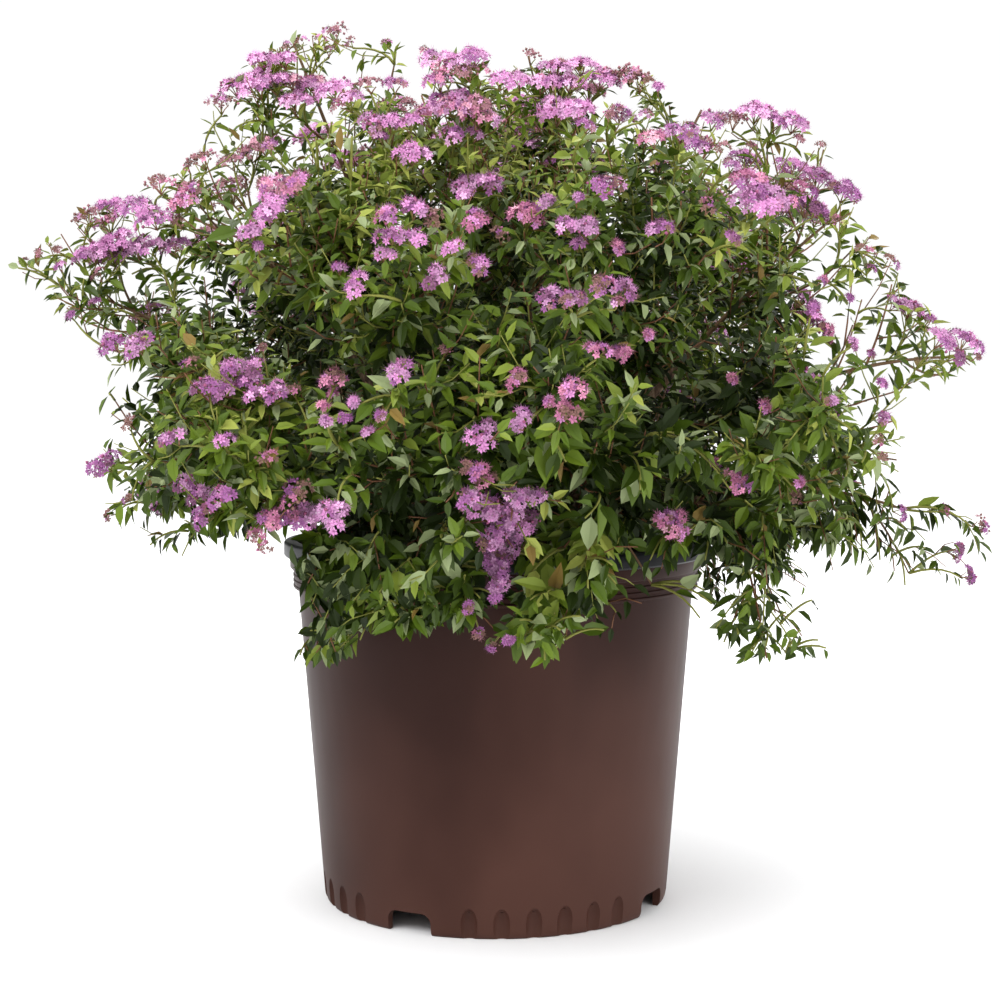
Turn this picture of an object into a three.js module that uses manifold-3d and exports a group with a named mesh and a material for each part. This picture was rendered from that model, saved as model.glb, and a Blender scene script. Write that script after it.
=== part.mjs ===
// A flowering spirea shrub in its nursery pot, in millimetres, +Z up.
// The origin is on the floor, at the middle of the pot's foot. +X is to the right of the
// shrub's best side, and -Y is the side that faces the viewer.
//
// The pot is a thin tapered shell with a stepped lip, a raised floor and drain notches in its
// foot. It is filled with potting mix, on which the woody stool stands. One bough springs from
// the stool for each mass of foliage. Bough and leading stem lie on one arching curve: the
// bough ends where the curve enters the mass, and the stem goes on from there to the tip.
// A mass is a stem, side twigs by a seeded rule, leaves, and flat-topped flower heads.
// Each leaf and head is larger than life and stands for the small ones round it.

import * as THREE from "three";
import { mergeVertices } from "three/addons/utils/BufferGeometryUtils.js";
import Module from "manifold-3d";

const wasm = await Module();
wasm.setup();

// ---------------------------------------------------------------- driving dimensions, mm

const POT = {
  height: 241,
  footRadius: 115.7, // outside of the wall at the floor
  topRadius: 135, // outside of the wall, if carried up to the lip
  wall: 2,
  footInset: 2.5, // how far the foot's edge is rounded in under the wall
  footHeight: 6, // from the floor to the wall's lower edge
  skirt: 2.5, // thickness of the foot below the raised floor
  lipRadius: 142,
  lipHeight: 10,
  lipRound: 2, // rounding of the lip's edge
  bandRadius: 138, // the first step under the lip
  bandHeight: 8,
  collarRadius: 136, // the second step
  collarHeight: 13,
  floorTop: 17, // inside of the raised floor
  floorThickness: 2.5,
  sides: 32,
};
const NOTCH = { count: 4, width: 31, height: 14, depth: 40, firstBearing: 242 }; // drains
const MIX = { top: 215, crest: 4, crestRadius: 62, sides: 16 }; // potting mix
const STOOL = { radius: 50, height: 24, sides: 10 }; // the woody base of the shrub
const GAP = 0.3; // between neighbouring solids

const CROWN = { centreHeight: 255 }; // reach and rise are measured from here
const BOUGH = {
  baseRadius: 4.6,
  tipRadius: 2.6,
  sides: 4,
  rows: 4,
  ends: 0.42, // where it ends, as a share of the whole curve
  footRises: [-24, 85], // the lowest mass's bough springs furthest out on the stool
  footRadii: [44, 5],
};
const STEM = {
  tipRadius: 2.2,
  sides: 4,
  rows: 3,
  twigs: 5,
  lastTwig: 0.85, // where its last side twig springs, as a share of the stem
  firstLeaf: 0.3, // where its first leaf springs
};
const TWIG = {
  longest: 105,
  shortest: 24,
  shrink: 0.88, // a twig that doesn't fit is tried again this much shorter
  radius: 1.6,
  tipRadius: 1.4,
  sides: 3,
  rows: 2,
  spreads: [74, 40], // degrees from the stem, at the stem's root and at its tip
  elbow: 0.55, // where the twig bends, as a share of its length
  reach: 0.92, // how far its end is out, as a share of its length
  lift: 0.3, // how far its end turns up, or down on a skirt
  firstLeaf: 0.15,
};
const LEAF = {
  length: 68,
  width: 35,
  root: 1.2, // height of the edge that is sunk in the twig
  widest: 0.42, // where the blade is widest, as a share of its length
  fold: 3.5, // how far its sides stand above the root
  droop: 6, // how far its tip hangs below the root
  sizes: [1.1, 0.7], // the first size tried, and the last
  tries: 6, // ranks and sizes that are tried for each leaf
  lane: 4.5, // half width of the lane that a blade keeps to itself
  spacing: 19, // along a twig
  forward: 0.5, // how much it leans along the twig
  sideways: 0.85,
  sag: 0.15,
  skyward: [0.4, 1.1], // how much its upper side faces up rather than outwards
  endRoom: 0.6, // widths that a twig with no head keeps between its end and the space's edge
};
const HEAD = {
  radius: 23,
  depth: 12,
  sizes: [0.8, 1.1],
  sides: 6,
  rows: 3,
  lump: 0.15, // how uneven its surface is
  rim: 0.45, // height of its widest ring above its foot, in depths
  dome: 0.4, // height of its top above its widest ring, in depths
  root: 0.3, // how far its point is sunk below its foot, in depths
  lean: 0.45, // how much it leans along its stalk rather than up
  endRoom: 0.8, // radii that its twig keeps between its end and the space's edge
  overhang: 0.7, // radii by which it stands past the end of its stem
};
const SPACE = { girth: 112, ends: 14, margin: 0.5 }; // half width of a mass, and its gaps
const SEED = 9000;
const MERGE = 1e-4; // corners nearer than this are one corner
const PARALLEL = 1e-9; // two lines whose directions spread less than this are parallel
const STEEP = 0.95; // a way up steeper than this has no level side to take its bearing from

// The masses of foliage. Bearing is in degrees from +X towards +Y, rise in degrees above the
// level of the crown's centre, reach in mm from that centre to the mass's furthest tip, arch
// in mm by which its curve is lifted, and bloom the share of its twigs that end in a head.
const MASSES = [
  { name: "top", bearing: 10, rise: 82, reach: 318, arch: 20, bloom: 1.0 },
  { name: "crest_left", bearing: 184, rise: 67, reach: 358, arch: 25, bloom: 1.0 },
  { name: "crest_front", bearing: 262, rise: 61, reach: 306, arch: 30, bloom: 0.9 },
  { name: "crest_right", bearing: 350, rise: 63, reach: 315, arch: 30, bloom: 1.0 },
  { name: "crest_back", bearing: 86, rise: 60, reach: 305, arch: 30, bloom: 0.9 },
  { name: "shoulder_right_back", bearing: 32, rise: 40, reach: 335, arch: 48, bloom: 0.8 },
  { name: "shoulder_back", bearing: 90, rise: 38, reach: 328, arch: 50, bloom: 0.7 },
  { name: "shoulder_left_back", bearing: 148, rise: 44, reach: 330, arch: 45, bloom: 0.8 },
  { name: "shoulder_left_front", bearing: 203, rise: 49, reach: 342, arch: 42, bloom: 0.8 },
  { name: "shoulder_front_left", bearing: 249, rise: 34, reach: 312, arch: 50, bloom: 0.6 },
  { name: "shoulder_front_right", bearing: 295, rise: 35, reach: 314, arch: 50, bloom: 0.6 },
  { name: "shoulder_right_front", bearing: 341, rise: 40, reach: 352, arch: 46, bloom: 0.8 },
  { name: "flank_right", bearing: 5, rise: 18, reach: 350, arch: 75, bloom: 0.6 },
  { name: "flank_right_back", bearing: 61, rise: 13, reach: 336, arch: 88, bloom: 0.4 },
  { name: "flank_left_back", bearing: 119, rise: 13, reach: 338, arch: 88, bloom: 0.4 },
  { name: "flank_left", bearing: 179, rise: 27, reach: 366, arch: 65, bloom: 0.8 },
  { name: "flank_left_front", bearing: 226, rise: 8, reach: 305, arch: 88, bloom: 0.5 },
  { name: "flank_front", bearing: 272, rise: 10, reach: 297, arch: 90, bloom: 0.5 },
  { name: "flank_right_front", bearing: 318, rise: 13, reach: 308, arch: 88, bloom: 0.5 },
  { name: "skirt_right", bearing: 354, rise: -4, reach: 334, arch: 95, bloom: 0.5 },
  { name: "skirt_right_back", bearing: 32, rise: -9, reach: 275, arch: 102, bloom: 0.3 },
  { name: "skirt_back_right", bearing: 76, rise: -11, reach: 270, arch: 105, bloom: 0.2 },
  { name: "skirt_back_left", bearing: 112, rise: -11, reach: 270, arch: 105, bloom: 0.2 },
  { name: "skirt_left_back", bearing: 152, rise: 3, reach: 262, arch: 92, bloom: 0.3 },
  { name: "skirt_left", bearing: 199, rise: 8, reach: 290, arch: 86, bloom: 0.5 },
  { name: "skirt_front_left", bearing: 249, rise: -12, reach: 224, arch: 112, bloom: 0.4 },
  { name: "skirt_front_right", bearing: 295, rise: -11, reach: 226, arch: 112, bloom: 0.4 },
  { name: "skirt_right_front", bearing: 330, rise: -10, reach: 262, arch: 104, bloom: 0.4 },
];
const HANGING_RISE = -2; // masses that rise less than this have twigs that turn down

// ---------------------------------------------------------------- small helpers

const UP = new THREE.Vector3(0, 0, 1);
const CROWN_CENTRE = new THREE.Vector3(0, 0, CROWN.centreHeight);
const { clamp, degToRad, lerp } = THREE.MathUtils;

/** A seeded stream of numbers from 0 to 1. */
function seeded(seed) {
  let state = seed >>> 0;
  return () => {
    state = (state + 0x6d2b79f5) >>> 0;
    let mixed = Math.imul(state ^ (state >>> 15), state | 1);
    mixed ^= mixed + Math.imul(mixed ^ (mixed >>> 7), mixed | 61);
    return ((mixed ^ (mixed >>> 14)) >>> 0) / 4294967296;
  };
}

/** The unit vector at a bearing and a rise, both in degrees. */
function heading(bearing, rise) {
  const b = degToRad(bearing);
  const r = degToRad(rise);
  return new THREE.Vector3(Math.cos(b) * Math.cos(r), Math.sin(b) * Math.cos(r), Math.sin(r));
}

/** The part of a vector that is square to the unit vector axis, made a unit vector. */
function squareTo(vector, axis) {
  return vector.clone().addScaledVector(axis, -vector.dot(axis)).normalize();
}

/** A unit vector square to a unit vector, as near to straight up as it can be. */
function uprightTo(axis) {
  return squareTo(Math.abs(axis.z) > STEEP ? new THREE.Vector3(1, 0, 0) : UP, axis);
}

/** A geometry with its shared corners merged, and only its positions kept. */
function bareGeometry(geometry) {
  const bare = geometry.clone();
  bare.deleteAttribute("normal");
  bare.deleteAttribute("uv");
  return mergeVertices(bare, MERGE);
}

/** A geometry as a manifold-3d solid. */
function solidOf(geometry) {
  const bare = bareGeometry(geometry);
  return new wasm.Manifold(
    new wasm.Mesh({
      numProp: 3,
      vertProperties: bare.attributes.position.array,
      triVerts: new Uint32Array(bare.index.array),
    }),
  );
}

/** A manifold-3d solid as a three.js geometry. */
function geometryOf(solid) {
  const mesh = solid.getMesh();
  const geometry = new THREE.BufferGeometry();
  geometry.setAttribute("position", new THREE.BufferAttribute(mesh.vertProperties, 3));
  geometry.setIndex(new THREE.BufferAttribute(mesh.triVerts, 1));
  geometry.computeVertexNormals();
  return geometry;
}

/** The places that cut a stretch of a curve into equal rows: a point, and the way along. */
function strandOf(curve, from, to, rows) {
  return Array.from({ length: rows + 1 }, (_, row) => {
    const t = lerp(from, to, row / rows);
    return { point: curve.getPoint(t), along: curve.getTangent(t) };
  });
}

/** The place at a share of a strand's rows. */
function onStrand(strand, share) {
  const rows = strand.length - 1;
  const row = Math.min(Math.floor(share * rows), rows - 1);
  const along = strand[row + 1].point.clone().sub(strand[row].point);
  const point = strand[row].point.clone().addScaledVector(along, share * rows - row);
  return { point, along: along.normalize() };
}

/** The straight pieces of a limb that tapers along a strand. */
function piecesOf(strand, firstRadius, lastRadius) {
  return strand.slice(1).map((place, row) => ({
    from: strand[row].point,
    to: place.point,
    radius: lerp(firstRadius, lastRadius, row / (strand.length - 1)),
  }));
}

/** The index of a closed tube's faces: its rows of sides, and a fan at each end. */
function tubeFaces(sides, rows) {
  const faces = [];
  for (let row = 0; row < rows; row++) {
    for (let side = 0; side < sides; side++) {
      const next = (side + 1) % sides;
      const [a, b, c, d] = [side, next, next + sides, side + sides].map((k) => k + row * sides);
      faces.push(a, b, c, a, c, d);
    }
  }
  const last = rows * sides;
  for (let side = 1; side < sides - 1; side++) {
    faces.push(0, side + 1, side, last, last + side, last + side + 1);
  }
  return faces;
}

/** A closed tapering limb along a strand. */
function limbGeometry(strand, firstRadius, lastRadius, sides) {
  const rows = strand.length - 1;
  const corners = strand.flatMap(({ point, along }, row) => {
    const right = uprightTo(along);
    const ahead = new THREE.Vector3().crossVectors(along, right);
    const radius = lerp(firstRadius, lastRadius, row / rows);
    return Array.from({ length: sides }, (_, side) => {
      const turn = (side * 2 * Math.PI) / sides;
      const corner = point.clone().addScaledVector(right, radius * Math.cos(turn));
      return corner.addScaledVector(ahead, radius * Math.sin(turn));
    });
  });
  return new THREE.BufferGeometry().setFromPoints(corners).setIndex(tubeFaces(sides, rows));
}

/** The way out through the middle of one of a limb's faces, square to the limb. */
function faceOf(along, sides, rank) {
  const right = uprightTo(along);
  const ahead = new THREE.Vector3().crossVectors(along, right);
  const turn = ((rank + 0.5) * 2 * Math.PI) / sides;
  return right.multiplyScalar(Math.cos(turn)).addScaledVector(ahead, Math.sin(turn));
}

/** The least distance between the segments a0-a1 and b0-b1. */
function segmentGap(a0, a1, b0, b1) {
  const u = a1.clone().sub(a0);
  const v = b1.clone().sub(b0);
  const w = a0.clone().sub(b0);
  const uu = u.dot(u);
  const uv = u.dot(v);
  const vv = v.dot(v);
  const spread = uu * vv - uv * uv;
  let s = spread > PARALLEL ? clamp((uv * v.dot(w) - vv * u.dot(w)) / spread, 0, 1) : 0;
  const t = clamp((uv * s + v.dot(w)) / vv, 0, 1);
  s = clamp((uv * t - u.dot(w)) / uu, 0, 1);
  return w.addScaledVector(u, s).addScaledVector(v, -t).length();
}

// ---------------------------------------------------------------- pot, mix and stool

/** The outside radius of the pot's wall at a height. */
function wallRadius(height) {
  return lerp(POT.footRadius, POT.topRadius, height / POT.height);
}

/** A solid of revolution about Z from [radius, height] pairs, closed back to the first. */
function turned(profile, sides) {
  const points = [...profile, profile[0]].map(([r, z]) => new THREE.Vector2(r, z));
  return new THREE.LatheGeometry(points, sides).rotateX(Math.PI / 2);
}

/** The pot: a tapered shell with a stepped lip, a raised floor and notches in its foot. */
function potGeometry() {
  const lipFoot = POT.height - POT.lipHeight;
  const bandFoot = lipFoot - POT.bandHeight;
  const collarFoot = bandFoot - POT.collarHeight;
  const floorFoot = POT.floorTop - POT.floorThickness;
  const innerFoot = POT.footRadius - POT.footInset - POT.skirt;
  const shell = turned(
    [
      [POT.footRadius - POT.footInset, 0],
      [wallRadius(POT.footHeight), POT.footHeight],
      [wallRadius(collarFoot), collarFoot],
      [POT.collarRadius, collarFoot],
      [POT.collarRadius, bandFoot],
      [POT.bandRadius, bandFoot],
      [POT.bandRadius, lipFoot],
      [POT.lipRadius, lipFoot],
      [POT.lipRadius, POT.height - POT.lipRound],
      [POT.lipRadius - POT.lipRound, POT.height],
      [wallRadius(POT.height) - POT.wall, POT.height],
      [wallRadius(POT.floorTop) - POT.wall, POT.floorTop],
      [0, POT.floorTop],
      [0, floorFoot],
      [innerFoot, floorFoot],
      [innerFoot, 0],
    ],
    POT.sides,
  );
  const notch = new THREE.BoxGeometry(NOTCH.depth, NOTCH.width, NOTCH.height * 2);
  notch.translate(POT.footRadius, 0, 0);
  let pot = solidOf(shell);
  for (let i = 0; i < NOTCH.count; i++) {
    const bearing = degToRad(NOTCH.firstBearing + (360 * i) / NOTCH.count);
    pot = pot.subtract(solidOf(notch.clone().rotateZ(bearing)));
  }
  return geometryOf(pot);
}

/** The mix fills the pot, a gap clear of its wall and floor. */
function mixGeometry() {
  const bottom = POT.floorTop + GAP;
  const flatness = Math.cos(Math.PI / POT.sides); // the wall's facets cut inside its circle
  const inside = (height) => (wallRadius(height) - POT.wall) * flatness - GAP;
  return turned(
    [
      [0, bottom],
      [inside(bottom), bottom],
      [inside(MIX.top), MIX.top],
      [MIX.crestRadius, MIX.top + MIX.crest],
      [0, MIX.top + MIX.crest],
    ],
    MIX.sides,
  );
}

/** The stool's surface, grown outwards by an amount: a low mound with a flared foot. */
function stoolGeometry(grown) {
  const foot = MIX.top + MIX.crest + GAP;
  const shares = [
    [0, 0],
    [1, 0],
    [1, 0.15],
    [0.84, 0.55],
    [0.5, 0.9],
    [0, 1],
  ];
  const profile = shares.map(([across, up]) => [
    across > 0 ? across * STOOL.radius + grown : 0,
    foot + up * STOOL.height + (up > 0 ? grown : -grown),
  ]);
  return turned(profile, STOOL.sides);
}

// ---------------------------------------------------------------- the masses' spaces

/** Where a bough springs from the stool: the steeper it rises, the nearer the middle. */
function boughFoot(mass) {
  const [low, high] = BOUGH.footRises;
  const share = clamp((mass.rise - low) / (high - low), 0, 1);
  const foot = heading(mass.bearing, 0).multiplyScalar(lerp(...BOUGH.footRadii, share));
  return foot.setZ(MIX.top + MIX.crest + STOOL.height / 3);
}

/** The curve from the stool to the mass's tip. */
function leaderOf(mass) {
  const foot = boughFoot(mass);
  const tip = heading(mass.bearing, mass.rise).multiplyScalar(mass.reach).add(CROWN_CENTRE);
  const middle = foot.clone().lerp(tip, 0.5).addScaledVector(UP, mass.arch);
  return new THREE.QuadraticBezierCurve3(foot, middle, tip);
}

/** A mass with its curve and the middle, half length and axis of its space. */
function spaceOf(mass, index) {
  const leader = leaderOf(mass);
  const root = leader.getPoint(BOUGH.ends);
  const axis = leader.getPoint(1).sub(root);
  const centre = root.clone().addScaledVector(axis, 0.5);
  const halfLength = axis.length() / 2 + SPACE.ends;
  return { ...mass, index, leader, centre, halfLength, axis: axis.normalize() };
}

const spaces = MASSES.map(spaceOf);

/** Whether a point lies in a mass's own space, at least margin inside it. */
function holds(space, point, margin) {
  const offset = point.clone().sub(space.centre);
  const along = offset.dot(space.axis);
  const across = offset.addScaledVector(space.axis, -along).length();
  const lengthShare = along / (space.halfLength - margin);
  const girthShare = across / (SPACE.girth - margin);
  if (lengthShare ** 2 + girthShare ** 2 > 1) return false;
  const near = point.distanceToSquared(space.centre);
  return spaces.every((other) => {
    if (other === space) return true;
    const apart = other.centre.distanceTo(space.centre);
    return (point.distanceToSquared(other.centre) - near) / (2 * apart) > margin;
  });
}

/** Whether a body with these corners lies wholly above the pot, or wholly outside it. */
function clearsPot(corners, margin) {
  if (corners.every((corner) => corner.z > POT.height + margin)) return true;
  const outward = new THREE.Vector3();
  corners.forEach((corner) => outward.add(corner));
  outward.setZ(0).normalize();
  return corners.every((corner) => corner.dot(outward) > POT.lipRadius + margin);
}

/** The straight pieces of every bough, to keep leaves off them. */
const boughPieces = spaces.flatMap(({ leader }) =>
  piecesOf(strandOf(leader, 0, BOUGH.ends, BOUGH.rows), BOUGH.baseRadius, BOUGH.tipRadius),
);

/** Whether a thin body round the segment from-to stays clear of every piece of a list. */
function clears(pieces, from, to, halfWidth) {
  return pieces.every((piece) => {
    const room = piece.radius + halfWidth + SPACE.margin;
    return segmentGap(from, to, piece.from, piece.to) > room;
  });
}

/** Whether a blade or head keeps to its mass's space and off the pot, boughs and others. */
function fits(space, grown, corners, blade) {
  return (
    corners.every((corner) => holds(space, corner, SPACE.margin)) &&
    clearsPot(corners, SPACE.margin) &&
    clears(boughPieces, blade.from, blade.to, blade.radius) &&
    clears(grown.blades, blade.from, blade.to, blade.radius)
  );
}

// ---------------------------------------------------------------- leaves and flower heads

const LEAF_FACES = [0, 4, 2, 0, 3, 4, 1, 2, 4, 1, 4, 3, 0, 2, 1, 0, 1, 3];

/** The five corners of a leaf: its root's edge, the two sides and the tip. */
function leafCorners(root, along, normal, size) {
  const side = new THREE.Vector3().crossVectors(normal, along);
  const at = (x, y, z) =>
    root.clone().addScaledVector(along, x).addScaledVector(side, y).addScaledVector(normal, z);
  const middle = LEAF.length * size * LEAF.widest;
  const halfWidth = (LEAF.width * size) / 2;
  return [
    at(0, 0, LEAF.root / 2),
    at(0, 0, -LEAF.root / 2),
    at(middle, halfWidth, LEAF.fold),
    at(middle, -halfWidth, LEAF.fold),
    at(LEAF.length * size, 0, -LEAF.droop),
  ];
}

/** Adds a leaf that springs from a limb's middle line, if it fits, and says whether it did. */
function growLeaf(space, grown, root, along, facing, size) {
  const corners = leafCorners(root, along, squareTo(facing, along), size);
  const tip = corners[corners.length - 1];
  const blade = { from: root.clone().lerp(tip, LEAF.widest / 2), to: tip, radius: LEAF.lane };
  if (!fits(space, grown, corners, blade)) return false;
  grown.blades.push(blade);
  grown.parts.push(new THREE.BufferGeometry().setFromPoints(corners).setIndex(LEAF_FACES));
  return true;
}

/** Tries one leaf on a limb in several ranks and sizes, the wanted one first. */
function growLeafAt(space, grown, { point, along }, sides, wantedRank, random) {
  const facing = point.clone().sub(CROWN_CENTRE).normalize();
  facing.addScaledVector(UP, lerp(...LEAF.skyward, random()));
  for (let attempt = 0; attempt < LEAF.tries; attempt++) {
    const side = faceOf(along, sides, wantedRank + attempt);
    const lean = along.clone().multiplyScalar(LEAF.forward);
    lean.addScaledVector(side, LEAF.sideways).addScaledVector(UP, -LEAF.sag).normalize();
    const size = lerp(...LEAF.sizes, attempt / LEAF.tries);
    if (growLeaf(space, grown, point, lean, facing, size)) return;
  }
}

/** Leaves in turn along a limb, from its end back to its first leaf. */
function dress(space, grown, { strand, sides, firstLeaf }, random) {
  const length = strand[0].point.distanceTo(strand[strand.length - 1].point);
  const count = Math.max(Math.round((length * (1 - firstLeaf)) / LEAF.spacing), 1);
  const firstRank = Math.floor(random() * sides);
  for (let i = 0; i < count; i++) {
    const share = lerp(1, firstLeaf, (i + 0.5) / count);
    growLeafAt(space, grown, onStrand(strand, share), sides, firstRank + i, random);
  }
}

/** A flower head on a stalk's end: a lumpy flat dome over a shallow cone. */
function headGeometry(foot, axis, radius, random) {
  const sphere = new THREE.SphereGeometry(1, HEAD.sides, HEAD.rows).rotateX(Math.PI / 2);
  const head = bareGeometry(sphere);
  const position = head.attributes.position;
  const lowest = position.count - 1;
  const right = uprightTo(axis);
  const ahead = new THREE.Vector3().crossVectors(axis, right);
  const depth = (HEAD.depth * radius) / HEAD.radius;
  for (let i = 0; i < position.count; i++) {
    const level = position.getZ(i);
    const lump = 1 + HEAD.lump * (2 * random() - 1);
    const lift = i === lowest ? -HEAD.root : (HEAD.rim + HEAD.dome * level) * lump;
    const corner = foot.clone().addScaledVector(axis, depth * lift);
    corner.addScaledVector(right, position.getX(i) * radius * lump);
    corner.addScaledVector(ahead, position.getY(i) * radius * lump);
    position.setXYZ(i, corner.x, corner.y, corner.z);
  }
  return head;
}

/** The corners of a geometry as a list of points. */
function cornersOf(geometry) {
  const position = geometry.attributes.position;
  return Array.from({ length: position.count }, (_, i) =>
    new THREE.Vector3().fromBufferAttribute(position, i),
  );
}

/** Adds a flower head on a limb's end, if it fits, and says whether it did. */
function growHead(space, grown, foot, along, random) {
  const axis = along.clone().multiplyScalar(HEAD.lean).add(UP).normalize();
  const radius = HEAD.radius * lerp(...HEAD.sizes, random());
  const head = headGeometry(foot, axis, radius, random);
  const middle = foot.clone().addScaledVector(axis, HEAD.depth / 2);
  const blade = { from: middle, to: middle.clone().addScaledVector(axis, 1), radius };
  if (!fits(space, grown, cornersOf(head), blade)) return false;
  grown.blades.push(blade);
  grown.parts.push(head);
  return true;
}

/** A flower head, or else a leaf, on a limb's end. */
function growEnd(space, grown, { strand, blooms }, random) {
  const { point, along } = onStrand(strand, 1);
  const foot = point.addScaledVector(along, -TWIG.tipRadius);
  if (blooms && growHead(space, grown, foot, along, random)) return;
  growLeaf(space, grown, foot, along, UP.clone().add(space.axis), 1);
}

// ---------------------------------------------------------------- growth of one mass

/** The strand of a side twig that turns up or down at its end, as long as fits, or null. */
function twigStrand(space, start, out, endMargin) {
  const lift = space.rise < HANGING_RISE ? -TWIG.lift : TWIG.lift;
  for (let length = TWIG.longest; length > TWIG.shortest; length *= TWIG.shrink) {
    const elbow = start.clone().addScaledVector(out, length * TWIG.elbow);
    const end = start.clone().addScaledVector(out, length * TWIG.reach);
    end.addScaledVector(UP, length * lift);
    const curve = new THREE.QuadraticBezierCurve3(start, elbow, end);
    const strand = strandOf(curve, 0, 1, TWIG.rows);
    const pieces = piecesOf(strand, TWIG.radius, TWIG.tipRadius);
    const free = pieces.map((piece) => piece.to);
    const keeps =
      holds(space, end, endMargin) &&
      free.every((point) => holds(space, point, TWIG.radius + SPACE.margin)) &&
      clearsPot(free, TWIG.radius + SPACE.margin) &&
      pieces.every(({ from, to }) => clears(boughPieces, from, to, TWIG.radius));
    if (keeps) return strand;
  }
  return null;
}

/** One side twig of a stem as a limb, or null if none fits there. */
function twigOn(space, stem, number, firstRank, random) {
  const share = (number + 0.5) / STEM.twigs;
  const { point, along } = onStrand(stem, share * STEM.lastTwig);
  const side = faceOf(along, STEM.sides, firstRank + number * (STEM.sides - 1));
  const spread = degToRad(lerp(...TWIG.spreads, share));
  const out = along.multiplyScalar(Math.cos(spread)).addScaledVector(side, Math.sin(spread));
  const blooms = random() < space.bloom;
  const endMargin = blooms ? HEAD.radius * HEAD.endRoom : LEAF.width * LEAF.endRoom;
  const strand = twigStrand(space, point, out, endMargin);
  return strand && { strand, sides: TWIG.sides, blooms, firstLeaf: TWIG.firstLeaf };
}

/** One mass: its stem, side twigs, leaves and flower heads, fused into one solid. */
function massGeometry(space) {
  const random = seeded(SEED + space.index);
  const { leader } = space;
  const curveLength = leader.getLength();
  const blooms = random() < space.bloom;
  const endLength = blooms ? HEAD.radius * HEAD.overhang : LEAF.length;
  const from = BOUGH.ends + GAP / curveLength;
  const stem = strandOf(leader, from, 1 - endLength / curveLength, STEM.rows);
  const limbs = [{ strand: stem, sides: STEM.sides, blooms, firstLeaf: STEM.firstLeaf }];
  const stemGeometry = limbGeometry(stem, BOUGH.tipRadius, STEM.tipRadius, STEM.sides);
  const grown = { parts: [stemGeometry], blades: [] };
  const firstRank = Math.floor(random() * STEM.sides);
  for (let number = 0; number < STEM.twigs; number++) {
    const twig = twigOn(space, stem, number, firstRank, random);
    if (!twig) continue;
    limbs.push(twig);
    grown.parts.push(limbGeometry(twig.strand, TWIG.radius, TWIG.tipRadius, TWIG.sides));
  }
  for (const limb of limbs) growEnd(space, grown, limb, random);
  for (const { strand } of limbs) {
    grown.blades.push(...piecesOf(strand, TWIG.radius, TWIG.tipRadius));
  }
  for (const limb of limbs) dress(space, grown, limb, random);
  return geometryOf(grown.parts.map(solidOf).reduce((whole, part) => whole.add(part)));
}

/** A bough, cut a gap clear of the stool that it springs from. */
function boughGeometry({ leader }) {
  const strand = strandOf(leader, 0, BOUGH.ends, BOUGH.rows);
  const whole = limbGeometry(strand, BOUGH.baseRadius, BOUGH.tipRadius, BOUGH.sides);
  return geometryOf(solidOf(whole).subtract(solidOf(stoolGeometry(GAP))));
}

// ---------------------------------------------------------------- assembly

const finish = (color, roughness) =>
  new THREE.MeshStandardMaterial({ color, roughness, metalness: 0 });
const FINISHES = {
  pot: finish(0x5b3d36, 0.45),
  mix: finish(0x3a2a20, 0.95),
  wood: finish(0x6a5240, 0.85),
  foliage: finish(0x4c6b2b, 0.6),
};

const shrub = new THREE.Group();

/** Adds a named mesh to the shrub. */
function place(name, geometry, material) {
  const mesh = new THREE.Mesh(geometry, material);
  mesh.name = name;
  shrub.add(mesh);
}

place("pot", potGeometry(), FINISHES.pot);
place("potting_mix", mixGeometry(), FINISHES.mix);
place("stool", stoolGeometry(0), FINISHES.wood);
for (const space of spaces) {
  place(`bough_${space.name}`, boughGeometry(space), FINISHES.wood);
  place(`foliage_${space.name}`, massGeometry(space), FINISHES.foliage);
}

export default shrub;
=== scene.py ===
"""The looks of a flowering spirea shrub in its nursery pot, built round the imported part.

The shrub is grown again by the rule of the part's own source: a bough for each mass of foliage,
a leading stem on the same arching curve, and seeded side twigs. The rule is then carried on to
finer shoots, real leaves and corymbs of florets. Its lengths are in millimetres, with +Z up and
-Y towards the viewer, until a mesh is made of them in metres.
"""

import logging
import math
from collections.abc import Iterable, Sequence
from dataclasses import dataclass, field, replace
from enum import IntEnum
from typing import NamedTuple

import bpy
import numpy as np
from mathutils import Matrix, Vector


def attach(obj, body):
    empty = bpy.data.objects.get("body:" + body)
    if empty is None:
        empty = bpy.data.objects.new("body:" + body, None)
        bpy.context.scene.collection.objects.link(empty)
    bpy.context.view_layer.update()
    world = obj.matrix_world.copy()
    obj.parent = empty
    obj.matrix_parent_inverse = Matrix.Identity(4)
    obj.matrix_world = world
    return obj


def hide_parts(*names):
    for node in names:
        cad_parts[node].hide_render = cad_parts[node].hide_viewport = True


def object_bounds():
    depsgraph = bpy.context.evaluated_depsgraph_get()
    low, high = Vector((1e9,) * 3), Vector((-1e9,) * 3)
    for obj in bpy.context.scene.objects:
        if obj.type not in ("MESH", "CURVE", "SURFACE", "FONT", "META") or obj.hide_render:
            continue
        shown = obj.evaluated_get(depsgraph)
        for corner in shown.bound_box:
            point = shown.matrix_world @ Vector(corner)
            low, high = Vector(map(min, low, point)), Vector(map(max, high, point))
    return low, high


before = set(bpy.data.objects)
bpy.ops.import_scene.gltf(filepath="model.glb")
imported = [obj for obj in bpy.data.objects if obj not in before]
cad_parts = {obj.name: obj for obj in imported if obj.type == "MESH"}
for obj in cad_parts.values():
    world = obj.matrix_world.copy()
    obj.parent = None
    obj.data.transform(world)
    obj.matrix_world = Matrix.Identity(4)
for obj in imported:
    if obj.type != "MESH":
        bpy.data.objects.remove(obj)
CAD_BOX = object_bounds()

Array = np.ndarray
LOG = logging.getLogger("shrub")
MM = 0.001  # metres in a millimetre
BODY = "root"
GOLDEN_TURN = math.pi * (3 - math.sqrt(5))
UP = np.array([0.0, 0.0, 1.0])
EAST = np.array([1.0, 0.0, 0.0])
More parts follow.
